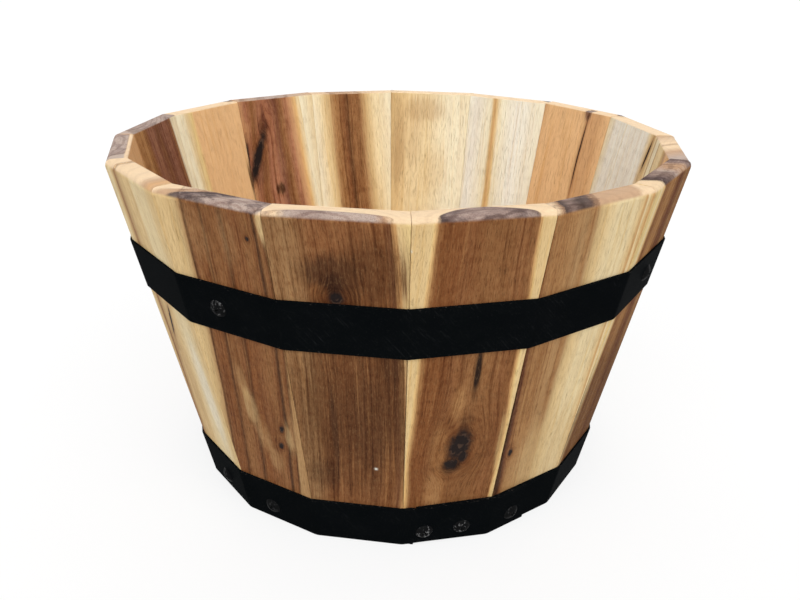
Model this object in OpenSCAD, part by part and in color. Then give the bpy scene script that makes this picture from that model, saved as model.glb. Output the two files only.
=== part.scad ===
// Wooden barrel planter, coopered from tapered staves with mitred edges. A boarded floor sits
// in a groove near the feet of the staves, and two flat steel hoops are screwed round the
// outside, each one a strap whose ends overlap in a screwed lap. Millimetres.
// Z points up. The origin is the centre of the ring that the stave feet stand on, and one
// seam between two staves faces -Y. Staves count anticlockwise from that seam, seen from above.

/* [Barrel] */
// Number of staves
stave_count = 16; // [12:1:16]
// Width of the rim, from corner to opposite corner
rim_across = 450; // [400:1:520]
// Width of the foot, from corner to opposite corner
foot_across = 328; // [310:1:380]
// Height of the staves
barrel_h = 270; // [235:1:340]

/* [Staves] */
// Thickness of a stave
stave_t = 16; // [14:0.5:22]
// Gap in the dry joint between two staves
seam_gap = 0.2; // [0.1:0.05:0.6]
// Depth of the easing along the outer edges of a stave
arris = 0.8; // [0.4:0.1:1.5]
// Radius of the outer edge of the rim
rim_round = 4.5; // [2:0.5:7]
// Size of the easing along the inner edge of the rim
rim_ease = 1.2; // [0.5:0.1:3]

/* [Floor] */
// Height of the underside of the floor above the ground
floor_z = 12; // [10:1:24]
// Thickness of a floor board
floor_t = 14; // [12:0.5:20]
// Number of floor boards
floor_board_count = 5; // [4:1:6]
// Gap between two floor boards
floor_board_gap = 2; // [1:0.5:6]
// Depth of the groove in the staves that holds the floor
croze_depth = 5; // [3:0.5:6]
// Play of the floor in its groove
croze_play = 0.3; // [0.2:0.1:1]
// Diameter of a drain hole
drain_d = 10; // [6:0.5:14]
// Distance between the two drain holes of a board
drain_pitch = 64; // [40:1:72]

/* [Floor battens] */
// Thickness of a batten
batten_t = 8; // [6:0.5:9]
// Width of a batten
batten_w = 28; // [22:1:34]
// Distance between the middles of the two battens
batten_pitch = 120; // [114:1:140]
// Room between the end of a batten and the staves
batten_room = 2; // [1:0.5:6]
// Distance of the outer screws from the end of a batten
batten_end = 14; // [8:1:18]

/* [Hoops] */
// Thickness of the strap
hoop_t = 1.5; // [1:0.1:2.5]
// Width of the strap
strap_w = 38; // [30:0.5:45]
// Inner radius of the fold in the strap at each seam
fold_r = 8; // [4:0.5:9]
// Play between a hoop and the staves, and between the two layers of a lap
hoop_play = 0.1; // [0.05:0.05:0.3]
// Height of the lower edge of the upper hoop
upper_hoop_z = 173; // [120:1:185]
// Height of the lower edge of the lower hoop
lower_hoop_z = 1; // [0.6:0.1:4]

/* [Lap joints] */
// Distance from the seam under a lap to the screw on either side of it
lap_straddle = 21; // [14:0.5:24]
// Distance from there to the third screw of the lap
lap_pitch = 28.5; // [20:0.5:29]
// Length of the outer end of the strap past its last screw
lap_outer_end = 15; // [9:0.5:20]
// Length of the hidden end of the strap past its last screw
lap_inner_end = 7; // [7:0.5:8]
// Length of the bend that lifts the strap over its other end
joggle_run = 3; // [2:0.5:4]
// Gap between the hidden end of the strap and that bend
lap_gap = 0.5; // [0.3:0.1:1]

/* [Hoop screws] */
// Diameter of the screw head
head_d = 13; // [10:0.5:15]
// Height of the screw head
head_h = 2.8; // [2:0.1:3.5]
// Diameter of the screw shank
shank_d = 4.2; // [3:0.1:5]
// Length of an upper hoop screw under its head
upper_screw_l = 15; // [12:0.5:16]
// Length of a lower hoop screw under its head, which reaches into the floor
lower_screw_l = 32; // [26:0.5:36]
// Farthest that a screw outside a lap is off the middle of its stave
screw_drift = 13; // [0:0.5:18]
// Width across the cross recess of a head
recess_w = 6.2; // [4:0.1:8]
// Depth of the cross recess
recess_depth = 1.5; // [0.5:0.1:2]

/* [Batten screws] */
// Diameter of the countersunk head
csk_d = 7.5; // [6:0.1:9]
// Diameter of the shank
csk_shank_d = 3.5; // [3:0.1:4.5]
// Length with its head
csk_screw_l = 18; // [15:0.5:19]

/* [Screw holes] */
// Play round a shank in wood, on the radius
wood_play = 0.1; // [0.05:0.05:0.3]
// Play round a shank in the strap, on the radius
strap_play = 0.3; // [0.2:0.1:0.6]
// Depth of a hole past the point of its screw
hole_spare = 0.5; // [0.3:0.1:1]

/* [Hidden] */
step = 360 / stave_count;
half = step / 2;
rim_r = rim_across / 2;
foot_r = foot_across / 2;
rim_face = rim_r * cos(half);
foot_face = foot_r * cos(half);
// Lean of a stave's face, and of the seam between two staves, from upright
lean = atan((rim_face - foot_face) / barrel_h);
seam_lean = atan((rim_r - foot_r) / barrel_h);
// Angle that the strap folds through at a seam
fold = acos(pow(cos(lean), 2) * cos(step) + pow(sin(lean), 2));
// A fold's cylinder stands this little proud of the flats, so it crosses them at a slight angle
fold_proud = 0.02;
// Thickness of a stave measured level
stave_level = stave_t / cos(lean);
hoop_h = strap_w * cos(lean);
// Outer faces of the first and second layers of strap, off the staves
layer_1 = hoop_play + hoop_t;
layer_2 = layer_1 + hoop_play + hoop_t;
// How far the point of a hoop screw lies under a stave's face
upper_reach = upper_screw_l - layer_1;
lower_reach = lower_screw_l - layer_1;
// The lower screws aim at the middle of the floor's edge
lower_screw_z = floor_z + floor_t / 2 - sin(lean) * (stave_t + lower_reach) / 2;
upper_screw_z = upper_hoop_z + hoop_h / 2;
croze_r = inner_face(floor_z + floor_t / 2) + croze_depth;
floor_r = croze_r - croze_play;
board_pitch = (2 * floor_r + floor_board_gap) / floor_board_count;
batten_z = floor_z - batten_t;
batten_y = batten_pitch / 2;
// Half the length of a batten: its outer corners stay clear of the staves
batten_half = sqrt(pow(inner_face(batten_z), 2) - pow(batten_y + batten_w / 2, 2)) - batten_room;
shank_point = shank_d;
cut = 1;
reach = 2 * rim_across;
$fn = 64;

// Staves on which the laps begin: the lower one faces the front, the upper one the back
lower_lap = 0;
upper_lap = 8;
// Screws as [stave, distance to the right of its middle, layers of strap under the head]
upper_marks = concat([drifted(14, -0.7), drifted(2, 1), drifted(6, 0), drifted(10, 0)],
                     lap_marks(upper_lap, upper_screw_z));
lower_marks = concat([drifted(13, 0), drifted(14, -0.5), drifted(3, -1), drifted(5, 0),
                      drifted(7, 0.3), drifted(9, 0), drifted(11, -0.4)],
                     lap_marks(lower_lap, lower_screw_z));
wood_tints = ["peru", "burlywood", "sienna", "tan", "navajowhite", "chocolate", "wheat", "peru"];

function stave_name(i) = str("stave_", i < 9 ? "0" : "", i + 1);
function board_name(k) = str("floor_board_", k + 1);
// Distance from the axis to the middle of a stave's outer or inner face at height z
function outer_face(z) = foot_face + (rim_face - foot_face) * z / barrel_h;
function inner_face(z) = outer_face(z) - stave_level;
// Half the width of a stave's outer face at height z
function half_width(z) = outer_face(z) * tan(half);
// A screw driven by eye, off the middle of its stave by a share of the most that they drift
function drifted(stave, share) = [stave, share * screw_drift, 1];
// Screws of a lap that begins on a stave, measured from the seam where that stave ends
function lap_marks(stave, z) = [
    [stave, half_width(z) - lap_straddle - lap_pitch, 2],
    [stave, half_width(z) - lap_straddle, 2],
    [(stave + 1) % stave_count, lap_straddle - half_width(z), 2]];
function head_seat(mark) = mark[2] == 2 ? layer_2 : layer_1;
function board_x(k) = (k - (floor_board_count - 1) / 2) * board_pitch;
// A batten's screws are on the middles of the boards, or as near as its ends let them
function batten_screw_x(k) = sign(board_x(k)) * min(abs(board_x(k)), batten_half - batten_end);

// Turns a piece that faces -Y to the place of a stave
module at_stave(i) rotate([0, 0, (i + 0.5) * step]) children();

// Frame on a stave's outer face at height z: X to the right, Z up the face, -Y outwards
module on_face(i, z) at_stave(i) translate([0, -outer_face(z), z]) rotate([lean, 0, 0]) children();

// Frame of a screw on a stave, off its face, with Z outwards along the screw
module at_screw(mark, z, off)
    on_face(mark[0], z) translate([mark[1], -off, 0]) rotate([90, 0, 0]) children();

// Sweeps an outline drawn as [distance from the axis, height] across a stave
module across(width) rotate([90, 0, -90]) linear_extrude(width, center = true) children();

// Everything between two heights
module between(z1, z2) translate([-reach / 2, -reach / 2, z1]) cube([reach, reach, z2 - z1]);

// --- Staves ---

// Waste outside the rounded outer edge of the rim
module rim_round_waste() {
    tangent = rim_round / tan((90 - lean) / 2);
    middle = [rim_face - tangent, barrel_h - rim_round];
    difference() {
        polygon([middle, [middle[0], barrel_h + cut], [rim_face + 2 * cut, barrel_h + cut],
                 middle + (rim_round + cut) * [cos(lean), -sin(lean)]]);
        translate(middle) circle(rim_round);
    }
}

// Outline of a stave seen along its edge
module stave_outline() difference() {
    polygon([[foot_face, 0], [rim_face, barrel_h],
             [inner_face(barrel_h), barrel_h], [inner_face(0), 0]]);
    rim_round_waste();
    translate([inner_face(barrel_h), barrel_h]) rotate(45) square(rim_ease * sqrt(2), center = true);
    translate([inner_face(floor_z) - stave_t, floor_z])
        square([croze_r - inner_face(floor_z) + stave_t, floor_t + croze_play]);
}

// The slice of the barrel that belongs to one stave, less half a seam gap on each side
module stave_wedge()
    translate([0, -seam_gap / 2 / sin(half), -cut]) linear_extrude(barrel_h + 2 * cut)
        polygon([[0, 0], [-reach * tan(half), -reach], [reach * tan(half), -reach]]);

// Square bar along a seam, which eases the edges of the two staves that meet there
module seam_bar(seam)
    rotate([0, 0, seam * step]) translate([0, -foot_r, 0]) rotate([seam_lean, 0, 0])
        rotate([0, 0, 45]) translate([-arris / sqrt(2), -arris / sqrt(2), -barrel_h])
            cube([arris * sqrt(2), arris * sqrt(2), 3 * barrel_h]);

module screw_hole(mark, z, length)
    at_screw(mark, z, 0) translate([0, 0, -length - hole_spare])
        cylinder(h = length + hole_spare + cut, r = shank_d / 2 + wood_play);

module stave(i) color(wood_tints[i % len(wood_tints)]) difference() {
    at_stave(i) intersection() {
        across(3 * half_width(barrel_h)) stave_outline();
        stave_wedge();
    }
    seam_bar(i);
    seam_bar(i + 1);
    for (mark = upper_marks) if (mark[0] == i) screw_hole(mark, upper_screw_z, upper_reach);
    for (mark = lower_marks) if (mark[0] == i) screw_hole(mark, lower_screw_z, lower_reach);
}

// --- Floor ---

// Outline of the whole floor: a regular polygon that follows the groove in the staves
module floor_outline()
    polygon([for (i = [0:stave_count - 1]) floor_r / cos(half) * [sin(i * step), -cos(i * step)]]);

module drain_holes(k)
    if (k > 0 && k < floor_board_count - 1)
        for (side = [-1, 1]) translate([board_x(k), side * drain_pitch / 2, floor_z - cut])
            cylinder(h = floor_t + 2 * cut, d = drain_d);

module floor_board(k) color("burlywood") difference() {
    translate([0, 0, floor_z]) linear_extrude(floor_t) intersection() {
        floor_outline();
        translate([board_x(k), 0]) square([board_pitch - floor_board_gap, reach], center = true);
    }
    drain_holes(k);
    for (mark = lower_marks) screw_hole(mark, lower_screw_z, lower_reach);
    for (side = [-1, 1]) translate([batten_screw_x(k), side * batten_y, floor_z - cut])
        cylinder(h = cut + csk_screw_l - batten_t + hole_spare, r = csk_shank_d / 2 + wood_play);
}

module floor_batten(side) color("tan") difference() {
    translate([-batten_half, side * batten_y - batten_w / 2, batten_z])
        cube([2 * batten_half, batten_w, batten_t]);
    for (k = [0:floor_board_count - 1])
        translate([batten_screw_x(k), side * batten_y, batten_z]) batten_hole();
}

module batten_hole() {
    translate([0, 0, -cut]) cylinder(h = batten_t + 2 * cut, r = csk_shank_d / 2 + wood_play);
    translate([0, 0, -wood_play]) csk_cone(wood_play);
}

// Cone of a countersunk head, with play all round
module csk_cone(play)
    cylinder(h = (csk_d - csk_shank_d) / 2, r1 = csk_d / 2 + 2 * play, r2 = csk_shank_d / 2 + 2 * play);

module csk_screw() {
    point = csk_shank_d;
    difference() {
        union() {
            csk_cone(0);
            cylinder(h = csk_screw_l - point, d = csk_shank_d);
        }
        cross_recess(csk_d / 2, recess_depth);
    }
    translate([0, 0, csk_screw_l - point]) cylinder(h = point, d1 = csk_shank_d, d2 = 0);
}

module batten_screws() color("silver")
    for (side = [-1, 1]) for (k = [0:floor_board_count - 1])
        translate([batten_screw_x(k), side * batten_y, batten_z]) csk_screw();

// --- Hoops ---

// The solid inside the planes of all the staves' faces, moved outwards
module inside_faces(off)
    intersection_for (i = [0:stave_count - 1])
        on_face(i, 0) translate([-reach, -off, -reach]) cube([2 * reach, reach, 2 * reach]);

// Waste outside a fold in the strap: a corner, less the cylinder that the fold follows
module fold_waste(seam, z, off, radius)
    rotate([0, 0, seam * step]) translate([0, -foot_r - off / cos(lean) / cos(half), 0])
        rotate([seam_lean, 0, 0]) translate([0, radius / cos(fold / 2), z - strap_w])
            linear_extrude(3 * strap_w) difference() {
                polygon([[0, 0], (radius + cut) * [-sin(fold / 2), -cos(fold / 2)],
                         (radius + cut) * [sin(fold / 2), -cos(fold / 2)]]);
                circle(radius + fold_proud);
            }

// The solid inside a surface of the strap, at a distance off the staves
module inside_strap(z, off) difference() {
    inside_faces(off);
    for (seam = [0:stave_count - 1]) fold_waste(seam, z, off, fold_r + off - hoop_play);
}

// One layer of strap all the way round, between two distances off the staves
module strap_layer(z, off_1, off_2) difference() {
    intersection() {
        inside_strap(z, off_2);
        between(z, z + hoop_h);
    }
    inside_strap(z, off_1);
}

// A block on a stave's face that holds what lies between two distances right of its middle
module face_block(i, z, x1, x2)
    on_face(i, z) translate([x1, -3 * layer_2, -strap_w]) cube([x2 - x1, 4 * layer_2, 3 * strap_w]);

// Bend that lifts the strap from the first layer to the second
module joggle(i, z, x) intersection() {
    on_face(i, z) translate([x, 0, -strap_w]) linear_extrude(3 * strap_w)
        polygon([[-cut, -hoop_play], [0, -hoop_play], [joggle_run, -layer_1 - hoop_play],
                 [joggle_run + cut, -layer_1 - hoop_play], [joggle_run + cut, -layer_2],
                 [joggle_run, -layer_2], [0, -layer_1], [-cut, -layer_1]]);
    between(z, z + hoop_h);
}

// A strap that starts under the lap, runs round the barrel and ends over its own start
module hoop(z, screw_z, lap, marks) {
    seam_x = half_width(screw_z);
    hidden_end = seam_x - lap_straddle - lap_pitch - lap_inner_end;
    joggle_x = hidden_end - lap_gap - joggle_run;
    visible_end = lap_straddle + lap_outer_end - seam_x;
    difference() {
        union() {
            difference() {
                strap_layer(z, hoop_play, layer_1);
                face_block(lap, z, joggle_x, hidden_end);
            }
            joggle(lap, z, joggle_x);
            intersection() {
                strap_layer(z, layer_1 + hoop_play, layer_2);
                union() {
                    face_block(lap, z, joggle_x + joggle_run, half_width(z + hoop_h));
                    face_block((lap + 1) % stave_count, z, -half_width(z + hoop_h), visible_end);
                }
            }
        }
        for (mark = marks) at_screw(mark, screw_z, -cut)
            cylinder(h = layer_2 + 2 * cut, r = shank_d / 2 + strap_play);
    }
}

module upper_hoop() color("darkslategray") hoop(upper_hoop_z, upper_screw_z, upper_lap, upper_marks);

module lower_hoop() color("darkslategray") hoop(lower_hoop_z, lower_screw_z, lower_lap, lower_marks);

// --- Hoop screws ---

// Cross recess cut upwards from z = 0
module cross_recess(width, depth) {
    blade = width / 5;
    for (turn = [0, 90]) rotate(turn) translate([-width / 2, -blade / 2, -cut])
        cube([width, blade, depth + cut]);
}

// Low domed screw with the underside of its head at z = 0 and its shank towards -Z
module domed_screw(length) {
    dome_r = (head_h * head_h + head_d * head_d / 4) / (2 * head_h);
    difference() {
        intersection() {
            translate([0, 0, head_h - dome_r]) sphere(dome_r);
            cylinder(h = head_h + cut, d = head_d + cut);
        }
        translate([0, 0, head_h]) mirror([0, 0, 1]) cross_recess(recess_w, recess_depth);
    }
    translate([0, 0, shank_point - length]) cylinder(h = length - shank_point, d = shank_d);
    translate([0, 0, -length]) cylinder(h = shank_point, d1 = 0, d2 = shank_d);
}

// Heads on a lap sit one layer further out, and each was left at a turn of its own
module hoop_screws(marks, z, length)
    for (n = [0:len(marks) - 1])
        at_screw(marks[n], z, head_seat(marks[n])) rotate(n * 37 + 20) domed_screw(length);

module upper_hoop_screws() color("dimgray") hoop_screws(upper_marks, upper_screw_z, upper_screw_l);

module lower_hoop_screws() color("dimgray") hoop_screws(lower_marks, lower_screw_z, lower_screw_l);

for (i = [0:stave_count - 1]) stave(i);
for (k = [0:floor_board_count - 1]) floor_board(k);
floor_batten(-1);  // floor_batten_front
floor_batten(1);  // floor_batten_rear
batten_screws();
upper_hoop();
lower_hoop();
upper_hoop_screws();
lower_hoop_screws();
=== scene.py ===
# %% [markdown]
# # A coopered barrel planter, dressed
# The planter is a ring of sixteen acacia staves with mitred edges. Two black steel straps are
# screwed round it, and a boarded floor sits in a groove near the feet of the staves. They keep
# every size, and this lesson gives them their looks: eased edges, folded straps, domed screws,
# and wood whose grain runs through each board.

# %% Load the frame
from functools import reduce
from math import acos, atan, cos, degrees, pi, radians, sin, sqrt, tan
import bmesh
import bpy
from mathutils import Matrix, Vector


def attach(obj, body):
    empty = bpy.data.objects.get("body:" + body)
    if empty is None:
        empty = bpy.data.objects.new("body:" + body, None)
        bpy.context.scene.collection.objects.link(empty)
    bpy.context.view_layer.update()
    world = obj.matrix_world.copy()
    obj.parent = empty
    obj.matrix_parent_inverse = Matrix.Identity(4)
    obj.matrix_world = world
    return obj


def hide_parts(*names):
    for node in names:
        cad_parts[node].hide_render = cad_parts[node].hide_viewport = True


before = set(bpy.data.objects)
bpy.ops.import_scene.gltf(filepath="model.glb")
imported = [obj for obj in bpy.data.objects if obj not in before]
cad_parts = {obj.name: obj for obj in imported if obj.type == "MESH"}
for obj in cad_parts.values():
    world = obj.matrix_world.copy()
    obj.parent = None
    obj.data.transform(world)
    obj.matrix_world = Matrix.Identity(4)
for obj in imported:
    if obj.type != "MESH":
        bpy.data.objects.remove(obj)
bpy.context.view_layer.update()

# %% [markdown]
# ## The camera
# The photograph looks down on the planter by about 22 degrees from nearly three quarters of a
# metre away. The view was worked out from the corners of the rim, the straps and the foot, so a
# corner of the model falls close to the same corner of the photograph. The camera's three axes
# are worked out first, and its matrix is then written from them, because that keeps the small
# tilts exact.

# %% Place the camera
MM = 0.001
AIM_HEIGHT = 135 * MM
VIEW_DISTANCE = 729.53 * MM
VIEW_DOWN = radians(22.2571)
VIEW_PITCH = radians(-0.5784)
VIEW_YAW = radians(-0.2468)
VIEW_ROLL = radians(-0.5475)
BARREL_TURN = radians(2.0562)
PIXELS_PER_TANGENT = 851.19
PICTURE_WIDTH = 800
SENSOR_WIDTH = 36


def turned(vector, axis, angle):
    """A vector after a turn about an axis."""
    return Matrix.Rotation(angle, 3, axis) @ vector


eye = Vector((0, -VIEW_DISTANCE * cos(VIEW_DOWN), VIEW_DISTANCE * sin(VIEW_DOWN)))
ahead = -eye.normalized()
right = Vector((1, 0, 0))
up = right.cross(ahead)
ahead = turned(ahead, up, VIEW_YAW)
right = turned(right, up, VIEW_YAW)
ahead = turned(ahead, right, VIEW_PITCH)
right = turned(right, ahead, VIEW_ROLL)
up = right.cross(ahead)
eye = eye + Vector((0, 0, AIM_HEIGHT))

bpy.ops.object.camera_add()
camera = bpy.context.object
camera.name = "camera"
axes = Matrix((right, up, -ahead)).transposed().to_4x4()
camera.matrix_world = Matrix.Rotation(-BARREL_TURN, 4, "Z") @ Matrix.Translation(eye) @ axes
camera.data.sensor_width = SENSOR_WIDTH
camera.data.lens = PIXELS_PER_TANGENT * SENSOR_WIDTH / PICTURE_WIDTH
camera.data.clip_start = 10 * MM
bpy.context.scene.camera = camera
print("camera at", camera.matrix_world.translation, "lens", round(camera.data.lens, 2))

# %% [markdown]
# ## The barrel's numbers
# Every piece is cut from the same few sizes as the solids: sixteen sides, the distance from the
# axis to a stave's face at any height, and the lean of that face. They are named once here, in
# metres, and every later cell reads them.

# %% Sizes shared by the pieces
STAVES = 16
STEP = 2 * pi / STAVES
HALF = STEP / 2
HEIGHT = 270 * MM
RIM_CORNER = 225 * MM
FOOT_CORNER = 164 * MM
STAVE_T = 16 * MM
SEAM_GAP = 0.2 * MM
RIM_FACE = RIM_CORNER * cos(HALF)
FOOT_FACE = FOOT_CORNER * cos(HALF)
LEAN = atan((RIM_FACE - FOOT_FACE) / HEIGHT)
STAVE_LEVEL = STAVE_T / cos(LEAN)
FLOOR_Z = 12 * MM
FLOOR_T = 14 * MM
GROOVE_D = 5 * MM
BOARD_PLAY = 0.3 * MM


def outer_face(z):
    """Distance from the axis to the middle of a stave's outer face at a height."""
    return FOOT_FACE + (RIM_FACE - FOOT_FACE) * z / HEIGHT


def inner_face(z):
    """Distance from the axis to the middle of a stave's inner face at a height."""
    return outer_face(z) - STAVE_LEVEL


def half_width(z):
    """Half the width of a stave's outer face at a height."""
    return outer_face(z) * tan(HALF)


GROOVE_R = inner_face(FLOOR_Z + FLOOR_T / 2) + GROOVE_D
print("lean", round(degrees(LEAN), 2), "groove radius", round(GROOVE_R / MM, 2), "mm")

# %% [markdown]
# ## Hands for modelling
# The pieces are modelled with the same operators as by hand. An operator works on all that is
# selected, so the helpers take care of that: one starts with a clean selection, one takes up a
# single piece, one picks edges or faces by their place, and two cut with a plane. Picking by
# place keeps working after an earlier step changes the order of the faces, which an index would
# not. A face or an edge counts as lying along an axis when `MOSTLY` of its direction does.

# %% Helpers for edit mode
MOSTLY = 0.9
SMOOTH_BELOW = 50


def let_go():
    """Leaves edit mode with nothing selected."""
    if bpy.context.mode != "OBJECT":
        bpy.ops.object.mode_set(mode="OBJECT")
    bpy.ops.object.select_all(action="DESELECT")


def take_up(piece):
    """Selects one piece alone, as the one that operators work on."""
    let_go()
    piece.select_set(True)
    bpy.context.view_layer.objects.active = piece


def edit():
    bpy.ops.object.mode_set(mode="EDIT")


def fresh(name):
    """Names the primitive that was just added, puts its place into its mesh and edits it."""
    piece = bpy.context.object
    piece.name = name
    bpy.ops.object.transform_apply()
    edit()
    return piece


def pick(kind, test):
    """In edit mode, selects the edges or the faces whose middle passes a test."""
    bpy.context.tool_settings.mesh_select_mode = (False, kind == "edges", kind == "faces")
    mesh = bmesh.from_edit_mesh(bpy.context.edit_object.data)
    for part in list(mesh.verts) + list(mesh.edges) + list(mesh.faces):
        part.select = False
    count = 0
    for part in getattr(mesh, kind):
        middle = sum((end.co for end in part.verts), Vector()) / len(part.verts)
        if test(middle, part):
            part.select_set(True)
            count += 1
    mesh.select_flush_mode()
    bmesh.update_edit_mesh(bpy.context.edit_object.data)
    return count


def saw(point, normal, keep_all=False):
    """Cuts what is selected with a plane, and drops the side that the normal points to."""
    bpy.ops.mesh.bisect(plane_co=point, plane_no=normal, use_fill=not keep_all,
                        clear_outer=not keep_all)


def saw_off(point, normal, keep_all=False):
    """Cuts the whole piece with a plane."""
    bpy.ops.mesh.select_all(action="SELECT")
    saw(point, normal, keep_all)


def extrude(x, y, z):
    """Draws out what is selected."""
    bpy.ops.mesh.extrude_region_move(TRANSFORM_OT_translate={"value": (x, y, z)})


def pinch(share, z):
    """Narrows what is selected about the upright axis."""
    bpy.ops.transform.resize(value=(share, share, 1), center_override=(0, 0, z))


def modify(piece, kind, **settings):
    """Takes up a piece, gives it a modifier with its settings and applies it."""
    take_up(piece)
    modifier = piece.modifiers.new("step", kind)
    for key, value in settings.items():
        setattr(modifier, key, value)
    bpy.ops.object.modifier_apply(modifier=modifier.name)


def finish_edges(piece, width, angle, segments=2):
    """Eases every edge sharper than an angle, and keeps the flats flat under smooth shading."""
    modify(piece, "BEVEL", width=width, segments=segments, limit_method="ANGLE",
           angle_limit=radians(angle))
    bpy.ops.object.shade_smooth_by_angle(angle=radians(SMOOTH_BELOW))
    modify(piece, "WEIGHTED_NORMAL", keep_sharp=True)


print("helpers ready")

# %% [markdown]
# ## One stave
# A stave is a flat board that leans outwards, with its long edges cut to a compound bevel so
# that sixteen of them close into a ring. It could be drawn as a list of points, but sawing it
# out of a block shows what each face is for: the lean of the face, the thickness, then the two
# mitres, which pass through the barrel's axis. The floor's groove is pushed in near the foot.

# %% Saw a stave from a block
BLOCK_OUT = 190 * MM


def fresh_stave():
    """A stave at the front, sawn on its four long sides, still in edit mode."""
    let_go()
    bpy.ops.mesh.primitive_cube_add(size=HEIGHT, location=(0, -BLOCK_OUT, HEIGHT / 2))
    board = fresh("stave_pattern")
    outward = Vector((0, -cos(LEAN), -sin(LEAN)))
    saw_off((0, -FOOT_FACE, 0), outward)
    saw_off((0, -inner_face(0), 0), -outward)
    for side in (-1, 1):
        mitre = Vector((side * cos(HALF), sin(HALF), 0))
        saw_off(mitre * (-SEAM_GAP / 2), mitre)
    return board


stave_pattern = fresh_stave()
groove_top = FLOOR_Z + FLOOR_T + BOARD_PLAY
for level in (FLOOR_Z, groove_top):
    saw_off((0, 0, level), (0, 0, 1), keep_all=True)
pick("faces", lambda middle, face: face.normal.y > MOSTLY and FLOOR_Z < middle.z < groove_top)
extrude(0, -GROOVE_D, 0)
bpy.ops.transform.resize(value=(1, 0, 1), center_override=(0, -GROOVE_R, FLOOR_Z))
print("stave faces:", len(bmesh.from_edit_mesh(stave_pattern.data).faces))

# %% [markdown]
# ## Eased edges
# The outer edge of the rim is rounded over with a router, and the long outer edges are sanded
# so that a fine bright line runs beside each seam. Each edge gets the size it has on the real
# planter, so they are picked one kind at a time. A bevel takes the length that it cuts back and
# not its radius, so the rim's is worked out from the angle at its corner. A last, very small
# bevel takes the sharpness off everything else, since no wooden edge is perfectly sharp.

# %% Round the rim and ease the edges
RIM_R = 4.5 * MM
INNER_RIM_EASE = 1.2 * MM
SEAM_EASE = 0.8 * MM
STAVE_EASE = 0.3 * MM
RIM_MIDDLE = RIM_FACE - STAVE_LEVEL / 2
NEAR_TOP = HEIGHT - 1 * MM
SEAM_REACH = 1.2 * MM
FACE_REACH = 0.8 * MM


def along(edge):
    """The direction of an edge."""
    return (edge.verts[1].co - edge.verts[0].co).normalized()


def across_top(middle, edge):
    return abs(along(edge).x) > MOSTLY and middle.z > NEAR_TOP


def on_outer_corner(middle, edge):
    """The two long outer edges, with the curve that they follow over the rim."""
    beside_seam = abs(middle.x) > half_width(middle.z) - SEAM_REACH
    on_face = middle.y < -outer_face(middle.z) + FACE_REACH
    return beside_seam and on_face and abs(along(edge).x) < 0.5


pick("edges", lambda middle, edge: across_top(middle, edge) and middle.y < -RIM_MIDDLE)
bpy.ops.mesh.bevel(offset=RIM_R / tan((pi / 2 - LEAN) / 2), segments=6, affect="EDGES")
pick("edges", lambda middle, edge: across_top(middle, edge) and middle.y > -RIM_MIDDLE)
bpy.ops.mesh.bevel(offset=INNER_RIM_EASE, segments=3, affect="EDGES")
picked = pick("edges", on_outer_corner)
bpy.ops.mesh.bevel(offset=SEAM_EASE, segments=3, affect="EDGES")
finish_edges(stave_pattern, STAVE_EASE, 30)
print("long edges eased:", picked, "faces now:", len(stave_pattern.data.polygons))

# %% [markdown]
# ## Sixteen staves
# The pattern is copied once for each place in the ring. Real staves are never cut to quite the
# same length, nor pushed in equally far, so each copy's rim drops by a fraction of a millimetre
# and its face goes in by a hair. The numbers are listed, which keeps them the same
# every time, and all of them stay inside the solids.

# %% Copy the pattern round the barrel
RIM_DROP = (0.0, 0.35, 0.1, 0.5, 0.2, 0.0, 0.45, 0.15, 0.3, 0.05, 0.4, 0.2, 0.5, 0.1, 0.3, 0.15)
PUSHED_IN = (0.0, 0.15, 0.05, 0.2, 0.0, 0.1, 0.2, 0.05, 0.15, 0.0, 0.1, 0.2, 0.05, 0.15, 0.0, 0.1)
RIM_SHARE = 0.9


def stave_turn(index):
    """Turns what faces the front to the place of a stave, counted from the front seam."""
    return Matrix.Rotation((index + 0.5) * STEP, 4, "Z")


def own_copy(pattern, name):
    """A copy with its own mesh."""
    piece = bpy.data.objects.new(name, pattern.data.copy())
    bpy.context.collection.objects.link(piece)
    return piece


def settle(piece, node):
    """The piece stands for a solid and rides with the barrel."""
    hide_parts(node)
    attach(piece, "root")


staves = []
for index in range(STAVES):
    node = f"stave_{index + 1:02d}"
    stave = own_copy(stave_pattern, "acacia_" + node)
    for vertex in stave.data.vertices:
        share = vertex.co.z / HEIGHT
        if share > RIM_SHARE:
            vertex.co.z -= RIM_DROP[index] * MM
        vertex.co.y += PUSHED_IN[index] * MM * share
    stave.data.transform(stave_turn(index))
    settle(stave, node)
    staves.append(stave)
bpy.data.objects.remove(stave_pattern)
print("staves:", len(staves))

# %% [markdown]
# ## The folded straps
# A hoop is one flat strap, folded at each seam and screwed where its ends overlap. A cone with
# sixteen sides and no caps has the right folds already. The facet under the lap is cut, the
# outer end is copied and lifted by one thickness of steel, and a short sloping face joins it to
# the long run. The folds are rounded while the strap is still a thin skin, because a bevel on a
# skin rounds both of its sides once it is given its thickness.

# %% Fold a strap
STEEL_T = 1.5 * MM
STRAP_PLAY = 0.1 * MM
STRAP_H = 38 * MM * cos(LEAN)
LIFT = STEEL_T + STRAP_PLAY
FOLD = acos(cos(LEAN) ** 2 * cos(STEP) + sin(LEAN) ** 2)
FOLD_R = 8 * MM
SCREWED_AT = 21 * MM
THIRD_SCREW = 28.5 * MM
HIDDEN_END = 7 * MM
OUTER_END = 15 * MM
STEP_RUN = 3 * MM
END_GAP = 0.5 * MM
LEAST_FOLD = radians(12)
NEAR_STEP = 0.2 * MM


def corner(z, off):
    """Distance from the axis to a seam, at a height and so far off the staves."""
    return (outer_face(z) + off / cos(LEAN)) / cos(HALF)


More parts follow.
